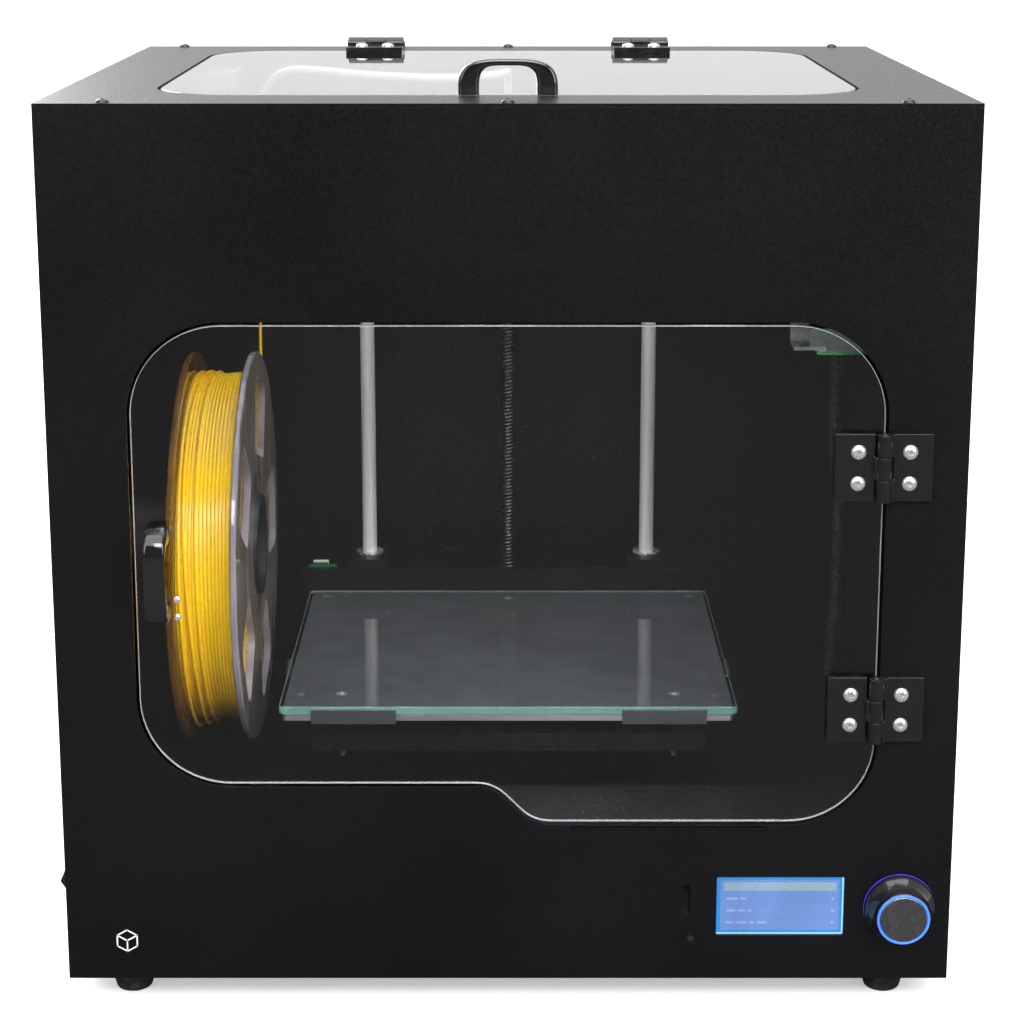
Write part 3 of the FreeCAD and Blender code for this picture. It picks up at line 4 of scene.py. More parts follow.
import bmesh
import bpy
import numpy as np
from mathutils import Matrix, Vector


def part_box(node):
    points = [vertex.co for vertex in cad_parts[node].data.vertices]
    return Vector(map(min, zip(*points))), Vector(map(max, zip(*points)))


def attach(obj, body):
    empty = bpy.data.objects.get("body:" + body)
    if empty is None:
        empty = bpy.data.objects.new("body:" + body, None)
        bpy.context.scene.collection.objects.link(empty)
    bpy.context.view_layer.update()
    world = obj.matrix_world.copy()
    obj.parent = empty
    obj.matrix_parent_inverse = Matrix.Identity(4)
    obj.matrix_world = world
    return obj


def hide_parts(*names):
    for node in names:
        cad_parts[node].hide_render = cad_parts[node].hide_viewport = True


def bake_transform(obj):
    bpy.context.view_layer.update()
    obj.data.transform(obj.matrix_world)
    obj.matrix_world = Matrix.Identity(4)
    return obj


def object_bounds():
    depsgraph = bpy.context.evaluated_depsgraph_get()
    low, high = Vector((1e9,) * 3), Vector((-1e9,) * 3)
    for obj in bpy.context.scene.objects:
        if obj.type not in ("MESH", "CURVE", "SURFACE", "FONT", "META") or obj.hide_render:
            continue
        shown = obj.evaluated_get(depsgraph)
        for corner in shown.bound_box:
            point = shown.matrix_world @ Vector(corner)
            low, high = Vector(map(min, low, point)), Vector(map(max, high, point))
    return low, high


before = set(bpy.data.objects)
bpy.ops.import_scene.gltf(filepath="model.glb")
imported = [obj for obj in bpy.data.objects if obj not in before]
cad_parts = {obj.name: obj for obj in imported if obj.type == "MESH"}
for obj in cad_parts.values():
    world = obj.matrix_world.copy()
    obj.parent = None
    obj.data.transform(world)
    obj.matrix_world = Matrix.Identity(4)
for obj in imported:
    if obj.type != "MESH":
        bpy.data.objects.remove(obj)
cad_box = [list(corner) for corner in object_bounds()]


# ---- finishes ----
# Each finish has one main shader. These functions make it, add nodes to it, and feed its sockets
# from noise or from a height in the object's own space.
def finish(name, colour, roughness, sockets=None):
    """A material with one shader, from its colour, roughness and any other sockets."""
    material = bpy.data.materials.new(name)
    material.use_nodes = True
    shader = material.node_tree.nodes["Principled BSDF"]
    shader.inputs["Base Color"].default_value = (*colour, 1)
    shader.inputs["Roughness"].default_value = roughness
    for socket, amount in (sockets or {}).items():
        shader.inputs[socket].default_value = amount
    return material


def mix_in(material, kind, settings, sources=None):
    """Add one node to a material, with plain settings on its sockets and links from sources."""
    node = material.node_tree.nodes.new(kind)
    for socket, amount in settings.items():
        node.inputs[socket].default_value = amount
    for socket, source in (sources or {}).items():
        material.node_tree.links.new(source, node.inputs[socket])
    return node


def grain(material, scale, detail=3.0, stretch=(1, 1, 1)):
    """Noise in the object's own space: scale is in lumps a metre, stretch squeezes each axis."""
    space = mix_in(material, "ShaderNodeTexCoord", {})
    mapped = mix_in(material, "ShaderNodeMapping", {"Scale": stretch},
                    {"Vector": space.outputs["Object"]})
    noise = mix_in(material, "ShaderNodeTexNoise", {"Scale": scale, "Detail": detail},
                   {"Vector": mapped.outputs[0]})
    return noise.outputs["Fac"]


def blend_value(material, source, low, high, start=0.3, end=0.7):
    """Spread a source between start and end over the values low to high."""
    spread = mix_in(material, "ShaderNodeMapRange", {
        "From Min": start, "From Max": end, "To Min": low, "To Max": high}, {"Value": source})
    return spread.outputs[0]


def blend_colour(material, source, first, second):
    """A colour between two others by a source from 0 to 1; either may be another node's output."""
    mix = material.node_tree.nodes.new("ShaderNodeMix")
    mix.data_type = "RGBA"
    links = material.node_tree.links
    links.new(source, mix.inputs["Factor"])
    for name, colour in (("A", first), ("B", second)):
        socket = [plug for plug in mix.inputs if plug.name == name and plug.type == "RGBA"][0]
        if isinstance(colour, tuple):
            socket.default_value = (*colour, 1)
        else:
            links.new(colour, socket)
    return [plug for plug in mix.outputs if plug.type == "RGBA"][0]


def feed(material, socket, source):
    """Drive one socket of the material's main shader from a node."""
    shader = material.node_tree.nodes["Principled BSDF"]
    material.node_tree.links.new(source, shader.inputs[socket])


def raise_surface(material, source, height):
    """Bump the surface by a source from 0 to 1, this high in metres."""
    bump = mix_in(material, "ShaderNodeBump", {"Strength": 1.0, "Distance": height},
                  {"Height": source})
    feed(material, "Normal", bump.outputs[0])


def band(material, axis, low, high, blur=0.0002):
    """1 between two heights along one axis of the object's own space, 0 outside."""
    space = mix_in(material, "ShaderNodeTexCoord", {})
    apart = mix_in(material, "ShaderNodeSeparateXYZ", {}, {0: space.outputs["Object"]})
    middle, half = (low + high) / 2, (high - low) / 2
    offset = mix_in(material, "ShaderNodeMath", {1: middle}, {0: apart.outputs[axis]})
    offset.operation = "SUBTRACT"
    size = mix_in(material, "ShaderNodeMath", {}, {0: offset.outputs[0]})
    size.operation = "ABSOLUTE"
    return blend_value(material, size.outputs[0], 1, 0, half - blur, half + blur)


def worn(material, scale, low, high):
    """Roughness between two values, by noise of this scale."""
    feed(material, "Roughness", blend_value(material, grain(material, scale), low, high))


def dress(material, *nodes):
    """Give CAD nodes this finish in place of their plain one."""
    for name in nodes:
        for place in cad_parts[name].material_slots:
            place.material = material


crisp = 0.00005  # the blur at the ends of a sharp band


# ---- shells ----
# A shell is a pair of points and faces. These functions make shells from rings of points, and
# turn shells or a CAD node's own surface into finished objects.
def skin(grid):
    """The faces of a closed surface over rings of points: quads between neighbouring rings, each
    ring joined to its own start, and a flat face at both ends. Where the last ring lies on the
    first, the surface closes on itself and has no end faces. Returns points and faces."""
    rings, around = grid.shape[:2]
    index = np.arange(rings * around).reshape(rings, around)
    beside = np.roll(index, -1, axis=1)
    quads = np.stack([index[:-1], beside[:-1], beside[1:], index[1:]], axis=-1).reshape(-1, 4)
    ends = [] if np.allclose(grid[0], grid[-1]) else [index[0][::-1].tolist(), index[-1].tolist()]
    return grid.reshape(-1, 3), quads.tolist() + ends


def turned_to(axis):
    """The matrix that carries +Z onto an axis."""
    axis = np.array(axis, float)
    side = np.eye(3)[np.argmin(np.abs(axis))]
    up = np.cross(axis, side)
    return np.stack([side, up, axis], axis=1)


def lathe(profile, centre, axis=(0, 0, 1), sides=96):
    """A profile of (radius, height) points turned about an axis through a centre."""
    profile = np.array(profile, float)
    turn = np.linspace(0, 2 * np.pi, sides, endpoint=False)
    radius, height = profile[:, :1], profile[:, 1:]
    grid = np.stack([radius * np.cos(turn), radius * np.sin(turn), height + 0 * turn], axis=-1)
    return skin(grid @ turned_to(axis).T + np.array(centre))


def copies(shell, spots, axis=(0, 0, 1)):
    """One shell moved to each spot and turned to an axis, as a list of shells."""
    points, faces = shell
    return [(points @ turned_to(axis).T + np.array(spot), faces) for spot in spots]


def make_piece(name, shells, material, body, crease=35):
    """One object from several shells, with its poles closed and its faces turned outwards."""
    starts = np.cumsum([0] + [len(points) for points, _ in shells[:-1]])
    points = np.concatenate([points for points, _ in shells])
    faces = [[corner + int(start) for corner in face]
             for start, (_, part) in zip(starts, shells) for face in part]
    mesh = bpy.data.meshes.new(name)
    mesh.from_pydata(points.tolist(), [], faces)
    work = bmesh.new()
    work.from_mesh(mesh)
    bmesh.ops.remove_doubles(work, verts=work.verts, dist=1e-7)
    bmesh.ops.recalc_face_normals(work, faces=work.faces)
    work.to_mesh(mesh)
    work.free()
    mesh.polygons.foreach_set("use_smooth", [True] * len(mesh.polygons))
    mesh.set_sharp_from_angle(angle=math.radians(crease))
    mesh.materials.append(material)
    piece = bpy.data.objects.new(name, mesh)
    bpy.context.collection.objects.link(piece)
    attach(piece, body)
    return piece


def eased(node, body, material, width, segments=2):
    """A CAD node's own surface with its triangles merged, its flat faces joined and its sharp edges
    rounded by a bevel this wide. It stands for the node."""
    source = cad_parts[node].data
    points = np.empty(len(source.vertices) * 3)
    source.vertices.foreach_get("co", points)
    corners = np.empty(len(source.loops), int)
    source.loops.foreach_get("vertex_index", corners)
    mesh = bpy.data.meshes.new(node + "_eased")
    mesh.from_pydata(points.reshape(-1, 3).tolist(), [], corners.reshape(-1, 3).tolist())
    work = bmesh.new()
    work.from_mesh(mesh)
    bmesh.ops.remove_doubles(work, verts=work.verts, dist=2e-6)
    bmesh.ops.dissolve_limit(
        work, angle_limit=math.radians(1), verts=work.verts, edges=work.edges)
    work.to_mesh(mesh)
    work.free()
    mesh.materials.append(material)
    mesh.polygons.foreach_set("use_smooth", [True] * len(mesh.polygons))
    piece = bpy.data.objects.new(node + "_eased", mesh)
    bpy.context.collection.objects.link(piece)
    rounding = piece.modifiers.new("rounding", "BEVEL")
    rounding.width, rounding.segments = width, segments
    rounding.limit_method, rounding.angle_limit = "ANGLE", math.radians(35)
    rounding.harden_normals = True
    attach(piece, body)
    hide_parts(node)


# ---- camera ----


# A long lens a little above the machine, square to its front. The lens is shifted so that the


# uprights stay nearly parallel.


camera_away, camera_up, camera_pitch = 1.128, 0.506, 12.38
camera_data = bpy.data.cameras.new("camera")
camera_data.lens, camera_data.shift_y = 81.2, -0.128
camera = bpy.data.objects.new("camera", camera_data)
camera.location = (0.0, -camera_away, camera_up)
camera.rotation_euler = (math.radians(90 - camera_pitch), 0, 0)
bpy.context.collection.objects.link(camera)
bpy.context.scene.camera = camera


# ---- floor and lights ----
# A plain white studio: one wide matt floor under a broad high light, with softboxes on both
# sides of the lens, above it, over the lid and behind. The room is bright behind and dim in
# front, and mirrors see a dark floor, so black paint looks black.
def softbox(name, spot, aim, wide, high, watts):
    """A rectangular lamp at a spot, turned to face its aim."""
    lamp = bpy.data.lights.new(name, "AREA")
    lamp.shape, lamp.size, lamp.size_y = "RECTANGLE", wide, high
    lamp.energy = watts
    holder = bpy.data.objects.new(name, lamp)
    holder.location = spot
    way = np.array(aim) - np.array(spot)
    holder.rotation_euler = (math.atan2(math.hypot(way[0], way[1]), -way[2]), 0,
                             math.atan2(way[1], way[0]) - math.pi / 2)
    bpy.context.collection.objects.link(holder)


floor_half, floor_white, floor_in_mirrors, floor_lift = 14.0, 0.88, 0.04, 0.45
floor_mesh = bpy.data.meshes.new("floor")
floor_mesh.from_pydata(
    [(-floor_half, -floor_half, 0), (floor_half, -floor_half, 0),
     (floor_half, floor_half, 0), (-floor_half, floor_half, 0)], [], [(0, 1, 2, 3)])
floor_paint = finish("floor_paint", (floor_white,) * 3, 0.8, {"Emission Color": (1, 1, 1, 1)})
floor_ray = mix_in(floor_paint, "ShaderNodeLightPath", {})
feed(floor_paint, "Emission Strength", blend_value(
    floor_paint, floor_ray.outputs["Is Camera Ray"], 0, floor_lift, 0, 1))
feed(floor_paint, "Base Color", blend_value(
    floor_paint, floor_ray.outputs["Is Glossy Ray"], floor_white, floor_in_mirrors, 0, 1))
floor_mesh.materials.append(floor_paint)
floor = bpy.data.objects.new("floor", floor_mesh)
bpy.context.collection.objects.link(floor)

sky_spread, sky_lean = math.radians(70), math.radians(24)
sky = bpy.data.lights.new("high_light", "SUN")
sky.energy, sky.angle = 3.0, sky_spread
sky_holder = bpy.data.objects.new("high_light", sky)
sky_holder.rotation_euler = (sky_lean, 0, 0)
bpy.context.collection.objects.link(sky_holder)
softbox("softbox_left", (-1.3, -1.5, 1.0), (0, 0, 0.2), 0.7, 1.1, 10)
softbox("softbox_right", (1.3, -1.4, 0.9), (-0.05, 0, 0.2), 0.6, 1.1, 18)
softbox("softbox_lens", (0.1, -1.7, 1.35), (0, 0, 0.18), 1.0, 0.5, 18)
softbox("softbox_lid", (0, 0.5, 1.5), (0, 0, 0.3), 1.4, 1.0, 6)
softbox("softbox_rear", (-1.2, 1.9, 1.1), (0, 0.1, 0.2), 1.2, 1.0, 30)

world = bpy.data.worlds.new("room")
world.use_nodes = True
world_nodes, world_links = world.node_tree.nodes, world.node_tree.links
heading = world_nodes.new("ShaderNodeTexCoord")
heading_parts = world_nodes.new("ShaderNodeSeparateXYZ")
world_links.new(heading.outputs["Generated"], heading_parts.inputs[0])
dim_front, bright_rear, fade_from, fade_to = 0.012, 1.0, -0.5, 0.6
level = world_nodes.new("ShaderNodeMapRange")
level.interpolation_type = "SMOOTHSTEP"
for socket, amount in {"From Min": fade_from, "From Max": fade_to,
                       "To Min": dim_front, "To Max": bright_rear}.items():
    level.inputs[socket].default_value = amount
world_links.new(heading_parts.outputs["Y"], level.inputs["Value"])
seen = world_nodes.new("ShaderNodeLightPath")
lift = world_nodes.new("ShaderNodeMath")
lift.operation = "MAXIMUM"
world_links.new(level.outputs[0], lift.inputs[0])
world_links.new(seen.outputs["Is Camera Ray"], lift.inputs[1])
world_links.new(lift.outputs[0], world_nodes["Background"].inputs["Strength"])
world_nodes["Background"].inputs["Color"].default_value = (1, 1, 1, 1)
scene = bpy.context.scene
scene.world, scene.view_settings.view_transform = world, "Standard"


# ---- sheet-steel case ----
# The case is folded from 1.5 mm steel sheet, screwed together along its edges, and covered in
# matt black powder coat with a fine orange-peel grain. Its cut edges and folds are rounded.
powder_coat = finish("powder_coat", (0.010, 0.0095, 0.011), 0.5, {"Specular IOR Level": 0.3})
coat_grain = grain(powder_coat, 900, 2)
coat_cloud = grain(powder_coat, 9, 2)
feed(powder_coat, "Base Color", blend_colour(
    powder_coat, blend_value(powder_coat, coat_cloud, 0, 1),
    (0.0022, 0.0020, 0.0028), (0.0042, 0.0040, 0.0050)))
feed(powder_coat, "Roughness", blend_value(powder_coat, coat_grain, 0.26, 0.40))
raise_surface(powder_coat, coat_grain, 0.00004)

dress(powder_coat, "rear_panel", "left_panel", "right_panel", "base_plates", "display_cover")
edge_ease = 0.0006
eased("front_panel", "frame", powder_coat, edge_ease)
eased("top_panel", "frame", powder_coat, edge_ease)


# ---- case screws ----
# Button-head machine screws with hexagon sockets: black ones hold the panels and plain steel
# ones hold the fixed hinge leaves. Each is one turned head with its socket pressed in.
def button_head(radius, high, key):
    """A domed head on its base: out along the socket's floor, up its wall, over the dome and back
    under. The dome's height falls as an ellipse, and the socket's radius is half its key over the
    cosine of the angle from the nearest flat."""
    turn = np.linspace(0, 2 * np.pi, 48, endpoint=False)
    flat = (turn + np.pi / 6) % (np.pi / 3) - np.pi / 6
    socket = key / 2 / np.cos(flat)
    share = np.sin(np.linspace(0, np.pi / 2, 8))[:, None]
    reach = socket + (radius - socket) * share
    reach = np.concatenate([0 * socket[None], socket[None], reach, 0 * socket[None]])
    rise = high * np.sqrt(np.clip(1 - (reach / radius) ** 2, 0, 1))
    rise[:2] = 0.3 * high
    rise[-1] = 0
    return skin(np.stack([reach * np.cos(turn), reach * np.sin(turn), rise], axis=-1))


handle_reach, case_deep, case_top, side_face, leaf_thick = 0.0155, 0.33, 0.412, 0.2, 0.003
front_face = cad_box[0][1] + handle_reach
rear_face = front_face + case_deep
towards_front = (0, -1, 0)

bright_steel = finish("bright_steel", (0.78, 0.76, 0.73), 0.24, {"Metallic": 0.8})
steel_grain = grain(bright_steel, 700, 3)
feed(bright_steel, "Roughness", blend_value(bright_steel, steel_grain, 0.16, 0.34))
raise_surface(bright_steel, steel_grain, 0.00002)
black_zinc = finish("black_zinc", (0.012, 0.012, 0.013), 0.3, {"Coat Weight": 0.2})
worn(black_zinc, 800, 0.22, 0.42)

panel_head = button_head(0.003, 0.00165, 0.0020)
edge_inset, side_inset, low_inset, screws_high, screws_low = 0.005, 0.06, 0.03, 0.374, 0.028
top_spots = [(x, front_face + edge_inset, case_top) for x in (-0.171, 0.0, 0.169)]
top_spots += [(x, rear_face - edge_inset, case_top) for x in (-0.18, 0.0, 0.18)]
side_spots = [(front_face + side_inset, screws_high), (rear_face - side_inset, screws_high),
              (front_face + side_inset, screws_low), (rear_face - low_inset, screws_low)]
rear_spots = [(x, rear_face, z) for x in (-0.19, 0.19) for z in (0.054, 0.214, screws_high)]
black_heads = copies(panel_head, top_spots)
black_heads += copies(panel_head, [(-side_face, *spot) for spot in side_spots], (-1, 0, 0))
black_heads += copies(panel_head, [(side_face, *spot) for spot in side_spots], (1, 0, 0))
black_heads += copies(panel_head, rear_spots, (0, 1, 0))
black_screws = make_piece("panel_screw_heads", black_heads, black_zinc, "frame")

hinge_head = button_head(0.0033, 0.0017, 0.0023)
hinge_axis_x, lid_axis_y = 0.1627, front_face + 0.3005
screw_out, screw_up = 0.0112, 0.007
door_hinges, lid_hinges = (0.255, 0.1444), (-0.072, 0.072)


def door_hinge_spots(side):
    """The four screws of one side of the door's hinges, on the faces of the leaves."""
    return [(hinge_axis_x + side * screw_out, front_face - leaf_thick, z + shift)
            for z in door_hinges for shift in (-screw_up, screw_up)]


def lid_hinge_spots(side):
    """The four screws of one side of the lid's hinges, on the faces of the leaves."""
    return [(x + shift, lid_axis_y + side * screw_out, case_top + leaf_thick)
            for x in lid_hinges for shift in (-screw_up, screw_up)]


fixed_heads = copies(hinge_head, door_hinge_spots(1), towards_front)
fixed_heads += copies(hinge_head, lid_hinge_spots(1))
fixed_screws = make_piece(
    "fixed_hinge_screw_heads", fixed_heads, bright_steel, "frame")
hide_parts("case_screws")
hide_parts("case_screws")


# ---- hinges ----
# Black nylon butt hinges, two on the door and two on the lid, moulded in two leaves that turn on
# a steel pin. Their faces are glossy with slight ripples from the mould.
nylon = finish("hinge_nylon", (0.006, 0.0055, 0.0065), 0.3, {"Coat Weight": 0.25})
nylon_ripple = grain(nylon, 160, 2)
feed(nylon, "Roughness", blend_value(nylon, nylon_ripple, 0.16, 0.32))
raise_surface(nylon, nylon_ripple, 0.00012)
leaf_ease = 0.0005
eased("fixed_hinge_leaves", "frame", nylon, leaf_ease)
eased("door_hinge_leaves", "door", nylon, leaf_ease)
eased("lid_hinge_leaves", "lid", nylon, leaf_ease)


# ---- door and lid panes ----
# Clear cast acrylic, 3 mm thick, cut to shape with polished faces and sawn edges that catch the
# light. The panes let lamps through, with the faintest haze.
def clear_sheet(name, colour, ior, shade, face_axis, edge_colour, edge_clear):
    """A clear finish that lets lamps through with a shade. Points whose normal leaves the sheet's
    own axis are its sawn edge, which has another colour and is less clear."""
    material = finish(name, colour, 0.0, {"IOR": ior, "Transmission Weight": 1.0})
    through = mix_in(material, "ShaderNodeBsdfTransparent", {"Color": (*shade, 1)})
    path = mix_in(material, "ShaderNodeLightPath", {})
    either = material.node_tree.nodes.new("ShaderNodeMixShader")
    links, nodes = material.node_tree.links, material.node_tree.nodes
    links.new(path.outputs["Is Shadow Ray"], either.inputs["Fac"])
    links.new(nodes["Principled BSDF"].outputs[0], either.inputs[1])
    links.new(through.outputs[0], either.inputs[2])
    links.new(either.outputs[0], nodes["Material Output"].inputs["Surface"])
    space = mix_in(material, "ShaderNodeTexCoord", {})
    apart = mix_in(material, "ShaderNodeSeparateXYZ", {}, {0: space.outputs["Normal"]})
    flat = mix_in(material, "ShaderNodeMath", {}, {0: apart.outputs[face_axis]})
    flat.operation = "ABSOLUTE"
    on_face = blend_value(material, flat.outputs[0], 0, 1, 0.80, 0.97)
    feed(material, "Base Color", blend_colour(material, on_face, edge_colour, colour))
    feed(material, "Transmission Weight", blend_value(material, on_face, edge_clear, 1.0, 0, 1))
    smear = grain(material, 14, 3)
    feed(material, "Roughness", blend_value(material, smear, 0.0, 0.03, 0.45, 0.75))
    return material


pane_clear, pane_edge = (0.97, 0.98, 0.98), (0.36, 0.36, 0.38)
pane_ease = 0.00035
acrylic_ior, edge_clear = 1.49, 0.2
door_acrylic = clear_sheet(
    "door_acrylic", pane_clear, acrylic_ior, (0.92, 0.93, 0.93), "Y", pane_edge, edge_clear)
lid_acrylic = clear_sheet(
    "lid_acrylic", pane_clear, acrylic_ior, (0.75, 0.76, 0.76), "Z", pane_edge, edge_clear)
eased("door_pane", "door", door_acrylic, pane_ease, 1)
eased("lid_pane", "lid", lid_acrylic, pane_ease, 1)


# ---- bow handles and their screws ----
# One-piece black moulded bow pulls, screwed from behind. Two small steel screws below the door's
# handle hold its catch.
def bow(centre, along, out, across):
    """A bow pull between two feet. Its outer and inner lines are super-ellipses over the half
    length, the section between them is a rounded rectangle, and the feet end flat on the pane."""
    turn = np.linspace(0, np.pi, 61)[:, None]
    power_out, power_in = 2 / 3.4, 2 / 4.2
    cosine, sine = np.cos(turn), np.clip(np.sin(turn), 0, 1)

    def arch(half, high, power):
        """A point pair along a super-ellipse: each part of the circle raised to a power."""
        return half * np.sign(cosine) * np.abs(cosine) ** power, high * sine ** power

    outer_x, outer_z = arch(bow_long / 2, bow_high, power_out)
    inner_x, inner_z = arch(bow_open / 2, bow_high - bow_thick, power_in)
    round_it = np.linspace(0, 2 * np.pi, 24, endpoint=False)[None]
    square = 2 / 5
    depth = np.sign(np.cos(round_it)) * np.abs(np.cos(round_it)) ** square
    width = np.sign(np.sin(round_it)) * np.abs(np.sin(round_it)) ** square
    local_x = (outer_x + inner_x) / 2 + (outer_x - inner_x) / 2 * depth
    local_z = (outer_z + inner_z) / 2 + (outer_z - inner_z) / 2 * depth
    local_y = bow_wide / 2 * width + 0 * local_x
    points = (local_x[..., None] * np.array(along) + local_z[..., None] * np.array(out)
              + local_y[..., None] * np.array(across))
    return skin(points + np.array(centre))


bow_long, bow_open, bow_high, bow_thick, bow_wide = 0.044, 0.025, handle_reach, 0.0030, 0.0095
gloss_black = finish("gloss_black_plastic", (0.008, 0.008, 0.009), 0.12, {"Coat Weight": 0.6})
gloss_wave = grain(gloss_black, 120, 2)
feed(gloss_black, "Roughness", blend_value(gloss_black, gloss_wave, 0.08, 0.2))
raise_surface(gloss_black, gloss_wave, 0.00006)

door_bow_x, door_bow_z, lid_bow_y = -0.153, 0.207, front_face + 0.044
door_bow = make_piece("door_bow_handle", [bow(
    (door_bow_x, front_face, door_bow_z), (0, 0, 1), towards_front, (1, 0, 0)
)], gloss_black, "door", 50)
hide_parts("door_handle")
lid_bow = make_piece("lid_bow_handle", [bow(
    (0, lid_bow_y, case_top), (1, 0, 0), (0, 0, 1), (0, 1, 0)
)], gloss_black, "lid", 50)
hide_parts("lid_handle")

catch_head = button_head(0.0017, 0.0011, 0.0013)
catch_spots = [(door_bow_x + 0.0074, front_face, z) for z in (0.1944, 0.1863)]
door_heads = copies(hinge_head, door_hinge_spots(-1), towards_front)
door_heads += copies(catch_head, catch_spots, towards_front)
door_screws = make_piece("door_screw_heads", door_heads, bright_steel, "door")
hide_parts("door_screws")
lid_heads = copies(hinge_head, lid_hinge_spots(-1))
lid_screws = make_piece("lid_screw_heads", lid_heads, bright_steel, "lid")
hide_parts("lid_screws")


# ---- display ----
# A small backlit dot-matrix display behind a cut-out in the front panel. It shows a bright frame,
# one picked row and three plain rows of short dashes, each with a pointer at its right. A pale
# glowing strip along the window's bottom and right edges is a painted glint of light on its edge.
screen_left, screen_right, screen_low, screen_high = 0.0944, 0.1520, 0.0352, 0.0634
screen_face = front_face + 0.00155
frame_wide = 0.0019


def slab(x0, x1, z0, z1, face, thick):
    """A thin upright plate as four rings: its back, its rim, and a face drawn in by a hair."""
    draw = min(thick, (z1 - z0) / 4, (x1 - x0) / 4)
    corners = np.array([(0, 0), (1, 0), (1, 1), (0, 1)])
    rings = []
    for y, inset in ((face + thick, 0), (face + draw / 2, 0), (face, draw / 2)):
        low = np.array([x0 + inset, z0 + inset])
        high = np.array([x1 - inset, z1 - inset])
        flat = low + (high - low) * corners
        rings.append(np.stack([flat[:, 0], np.full(4, y), flat[:, 1]], axis=-1))
    return skin(np.array(rings))


def glow(name, colour, strength, base=(0.02, 0.03, 0.05)):
    """A lit display finish: glossy glass over a faint dot grid, with its own light."""
    material = finish(name, base, 0.12, {
        "Emission Color": (*colour, 1), "Emission Strength": strength})
    dots = grain(material, 2600, 0)
    soft = grain(material, 45, 1)
    level = mix_in(material, "ShaderNodeMath", {}, {0: dots, 1: soft})
    level.operation = "ADD"
    feed(material, "Emission Strength", blend_value(
        material, level.outputs[0], 0.82 * strength, 1.12 * strength, 0.7, 1.3))
    return material


row_high, row_step, row_drop, row_inset = 0.0040, 0.0058, 0.0012, 0.0014
row_tops = [screen_high - frame_wide - row_drop - n * row_step for n in range(4)]
row_left = screen_left + frame_wide + row_inset
row_right = screen_right - frame_wide - row_inset
field_glow = glow("display_field", (0.16, 0.29, 0.68), 0.95)
frame_glow = glow("display_frame", (0.015, 0.28, 0.78), 0.95)
window_glint_paint = glow("display_painted_glint", (0.42, 0.80, 1.0), 1.0)
row_glow = glow("display_row", (0.32, 0.48, 0.56), 0.9)
mark_glow = glow("display_marks", (0.33, 0.45, 0.82), 0.9)

behind_cut, layer, thin_layer, rim, rim_past = 0.0015, 0.0001, 0.00008, 0.0007, 0.0001
make_piece("display_frame", [slab(
    screen_left - behind_cut, screen_right + behind_cut, screen_low - behind_cut,
    screen_high + behind_cut, screen_face - 0.00005, thin_layer)], frame_glow, "frame")
make_piece("display_field", [slab(
    screen_left + frame_wide, screen_right - frame_wide, screen_low + frame_wide,
    screen_high - frame_wide, screen_face - 0.0002, layer)], field_glow, "frame")
make_piece("display_row", [slab(
    row_left, row_right, row_tops[0] - row_high, row_tops[0], screen_face - 0.0003, thin_layer)],
    row_glow, "frame")
# Painted glint: a pale glowing strip along the bottom and right edges of the window, where light
# catches its edge.
make_piece("display_painted_glint", [
    slab(screen_left, screen_right, screen_low - rim_past, screen_low + rim,
         screen_face - 0.0002, layer),
    slab(screen_right - rim, screen_right + rim_past, screen_low, screen_high,
         screen_face - 0.00025, layer),
], window_glint_paint, "frame")

dashes = []
dash_low, dash_top, dash_gap, dash_indent, dash_face = 0.0026, 0.0014, 0.0011, 0.0012, 0.0004
pointer_left, pointer_right = row_right - 0.0022, row_right - 0.0008
dash_runs = ((0.0030, 0.0048, 0.0022, 0.0060), (0.0052, 0.0028), (0.0040, 0.0036, 0.0018),
             (0.0034, 0.0050, 0.0024, 0.0042))
for top, runs in zip(row_tops, dash_runs):
    x = row_left + dash_indent
    for run in runs:
        dashes.append(slab(
            x, x + run, top - dash_low, top - dash_top, screen_face - dash_face, thin_layer))
        x += run + dash_gap
for top in row_tops[1:]:
    dashes.append(slab(pointer_left, pointer_right, top - dash_low, top - dash_top,
                       screen_face - dash_face, thin_layer))
make_piece("display_dashes", dashes, mark_glow, "frame")


# ---- main board and control boards ----
# Green boards with copper traces under the coat. The control board stands behind the front panel,
# with the display, the encoder and the sockets on it in black housings.
board_green = finish("board_green", (0.012, 0.10, 0.035), 0.35, {"Coat Weight": 0.4})
board_traces = grain(board_green, 420, 1, (1, 1, 0.2))
feed(board_green, "Base Color", blend_colour(
    board_green, blend_value(board_green, board_traces, 0, 1, 0.48, 0.54),
    (0.010, 0.085, 0.03), (0.03, 0.17, 0.07)))
raise_surface(board_green, board_traces, 0.00005)
dress(board_green, "main_board")

stack_paint = finish("control_stack", (0.02, 0.02, 0.02), 0.4)
board_front, board_rear = front_face + 0.0109, front_face + 0.0127
stack_board = band(stack_paint, "Y", board_front, board_rear, crisp)
feed(stack_paint, "Base Color", blend_colour(
    stack_paint, stack_board, (0.018, 0.018, 0.020), (0.012, 0.10, 0.035)))
worn(stack_paint, 420, 0.3, 0.5)
dress(stack_paint, "display_unit")


# ---- reset button, mark and knob ----
# The knob is turned from black plastic and flares to its base; a blue light ring surrounds its
# face of spun metal. A thin ring in the gap under its base is painted glow of that light spilling
# onto the panel. The mark at the left is a plain cube drawn in thin pale strokes.
satin_black = finish("satin_black_plastic", (0.012, 0.012, 0.013), 0.4)
satin_grain = grain(satin_black, 500, 3)
feed(satin_black, "Roughness", blend_value(satin_black, satin_grain, 0.32, 0.5))
raise_surface(satin_black, satin_grain, 0.00005)
dress(satin_black, "reset_button")


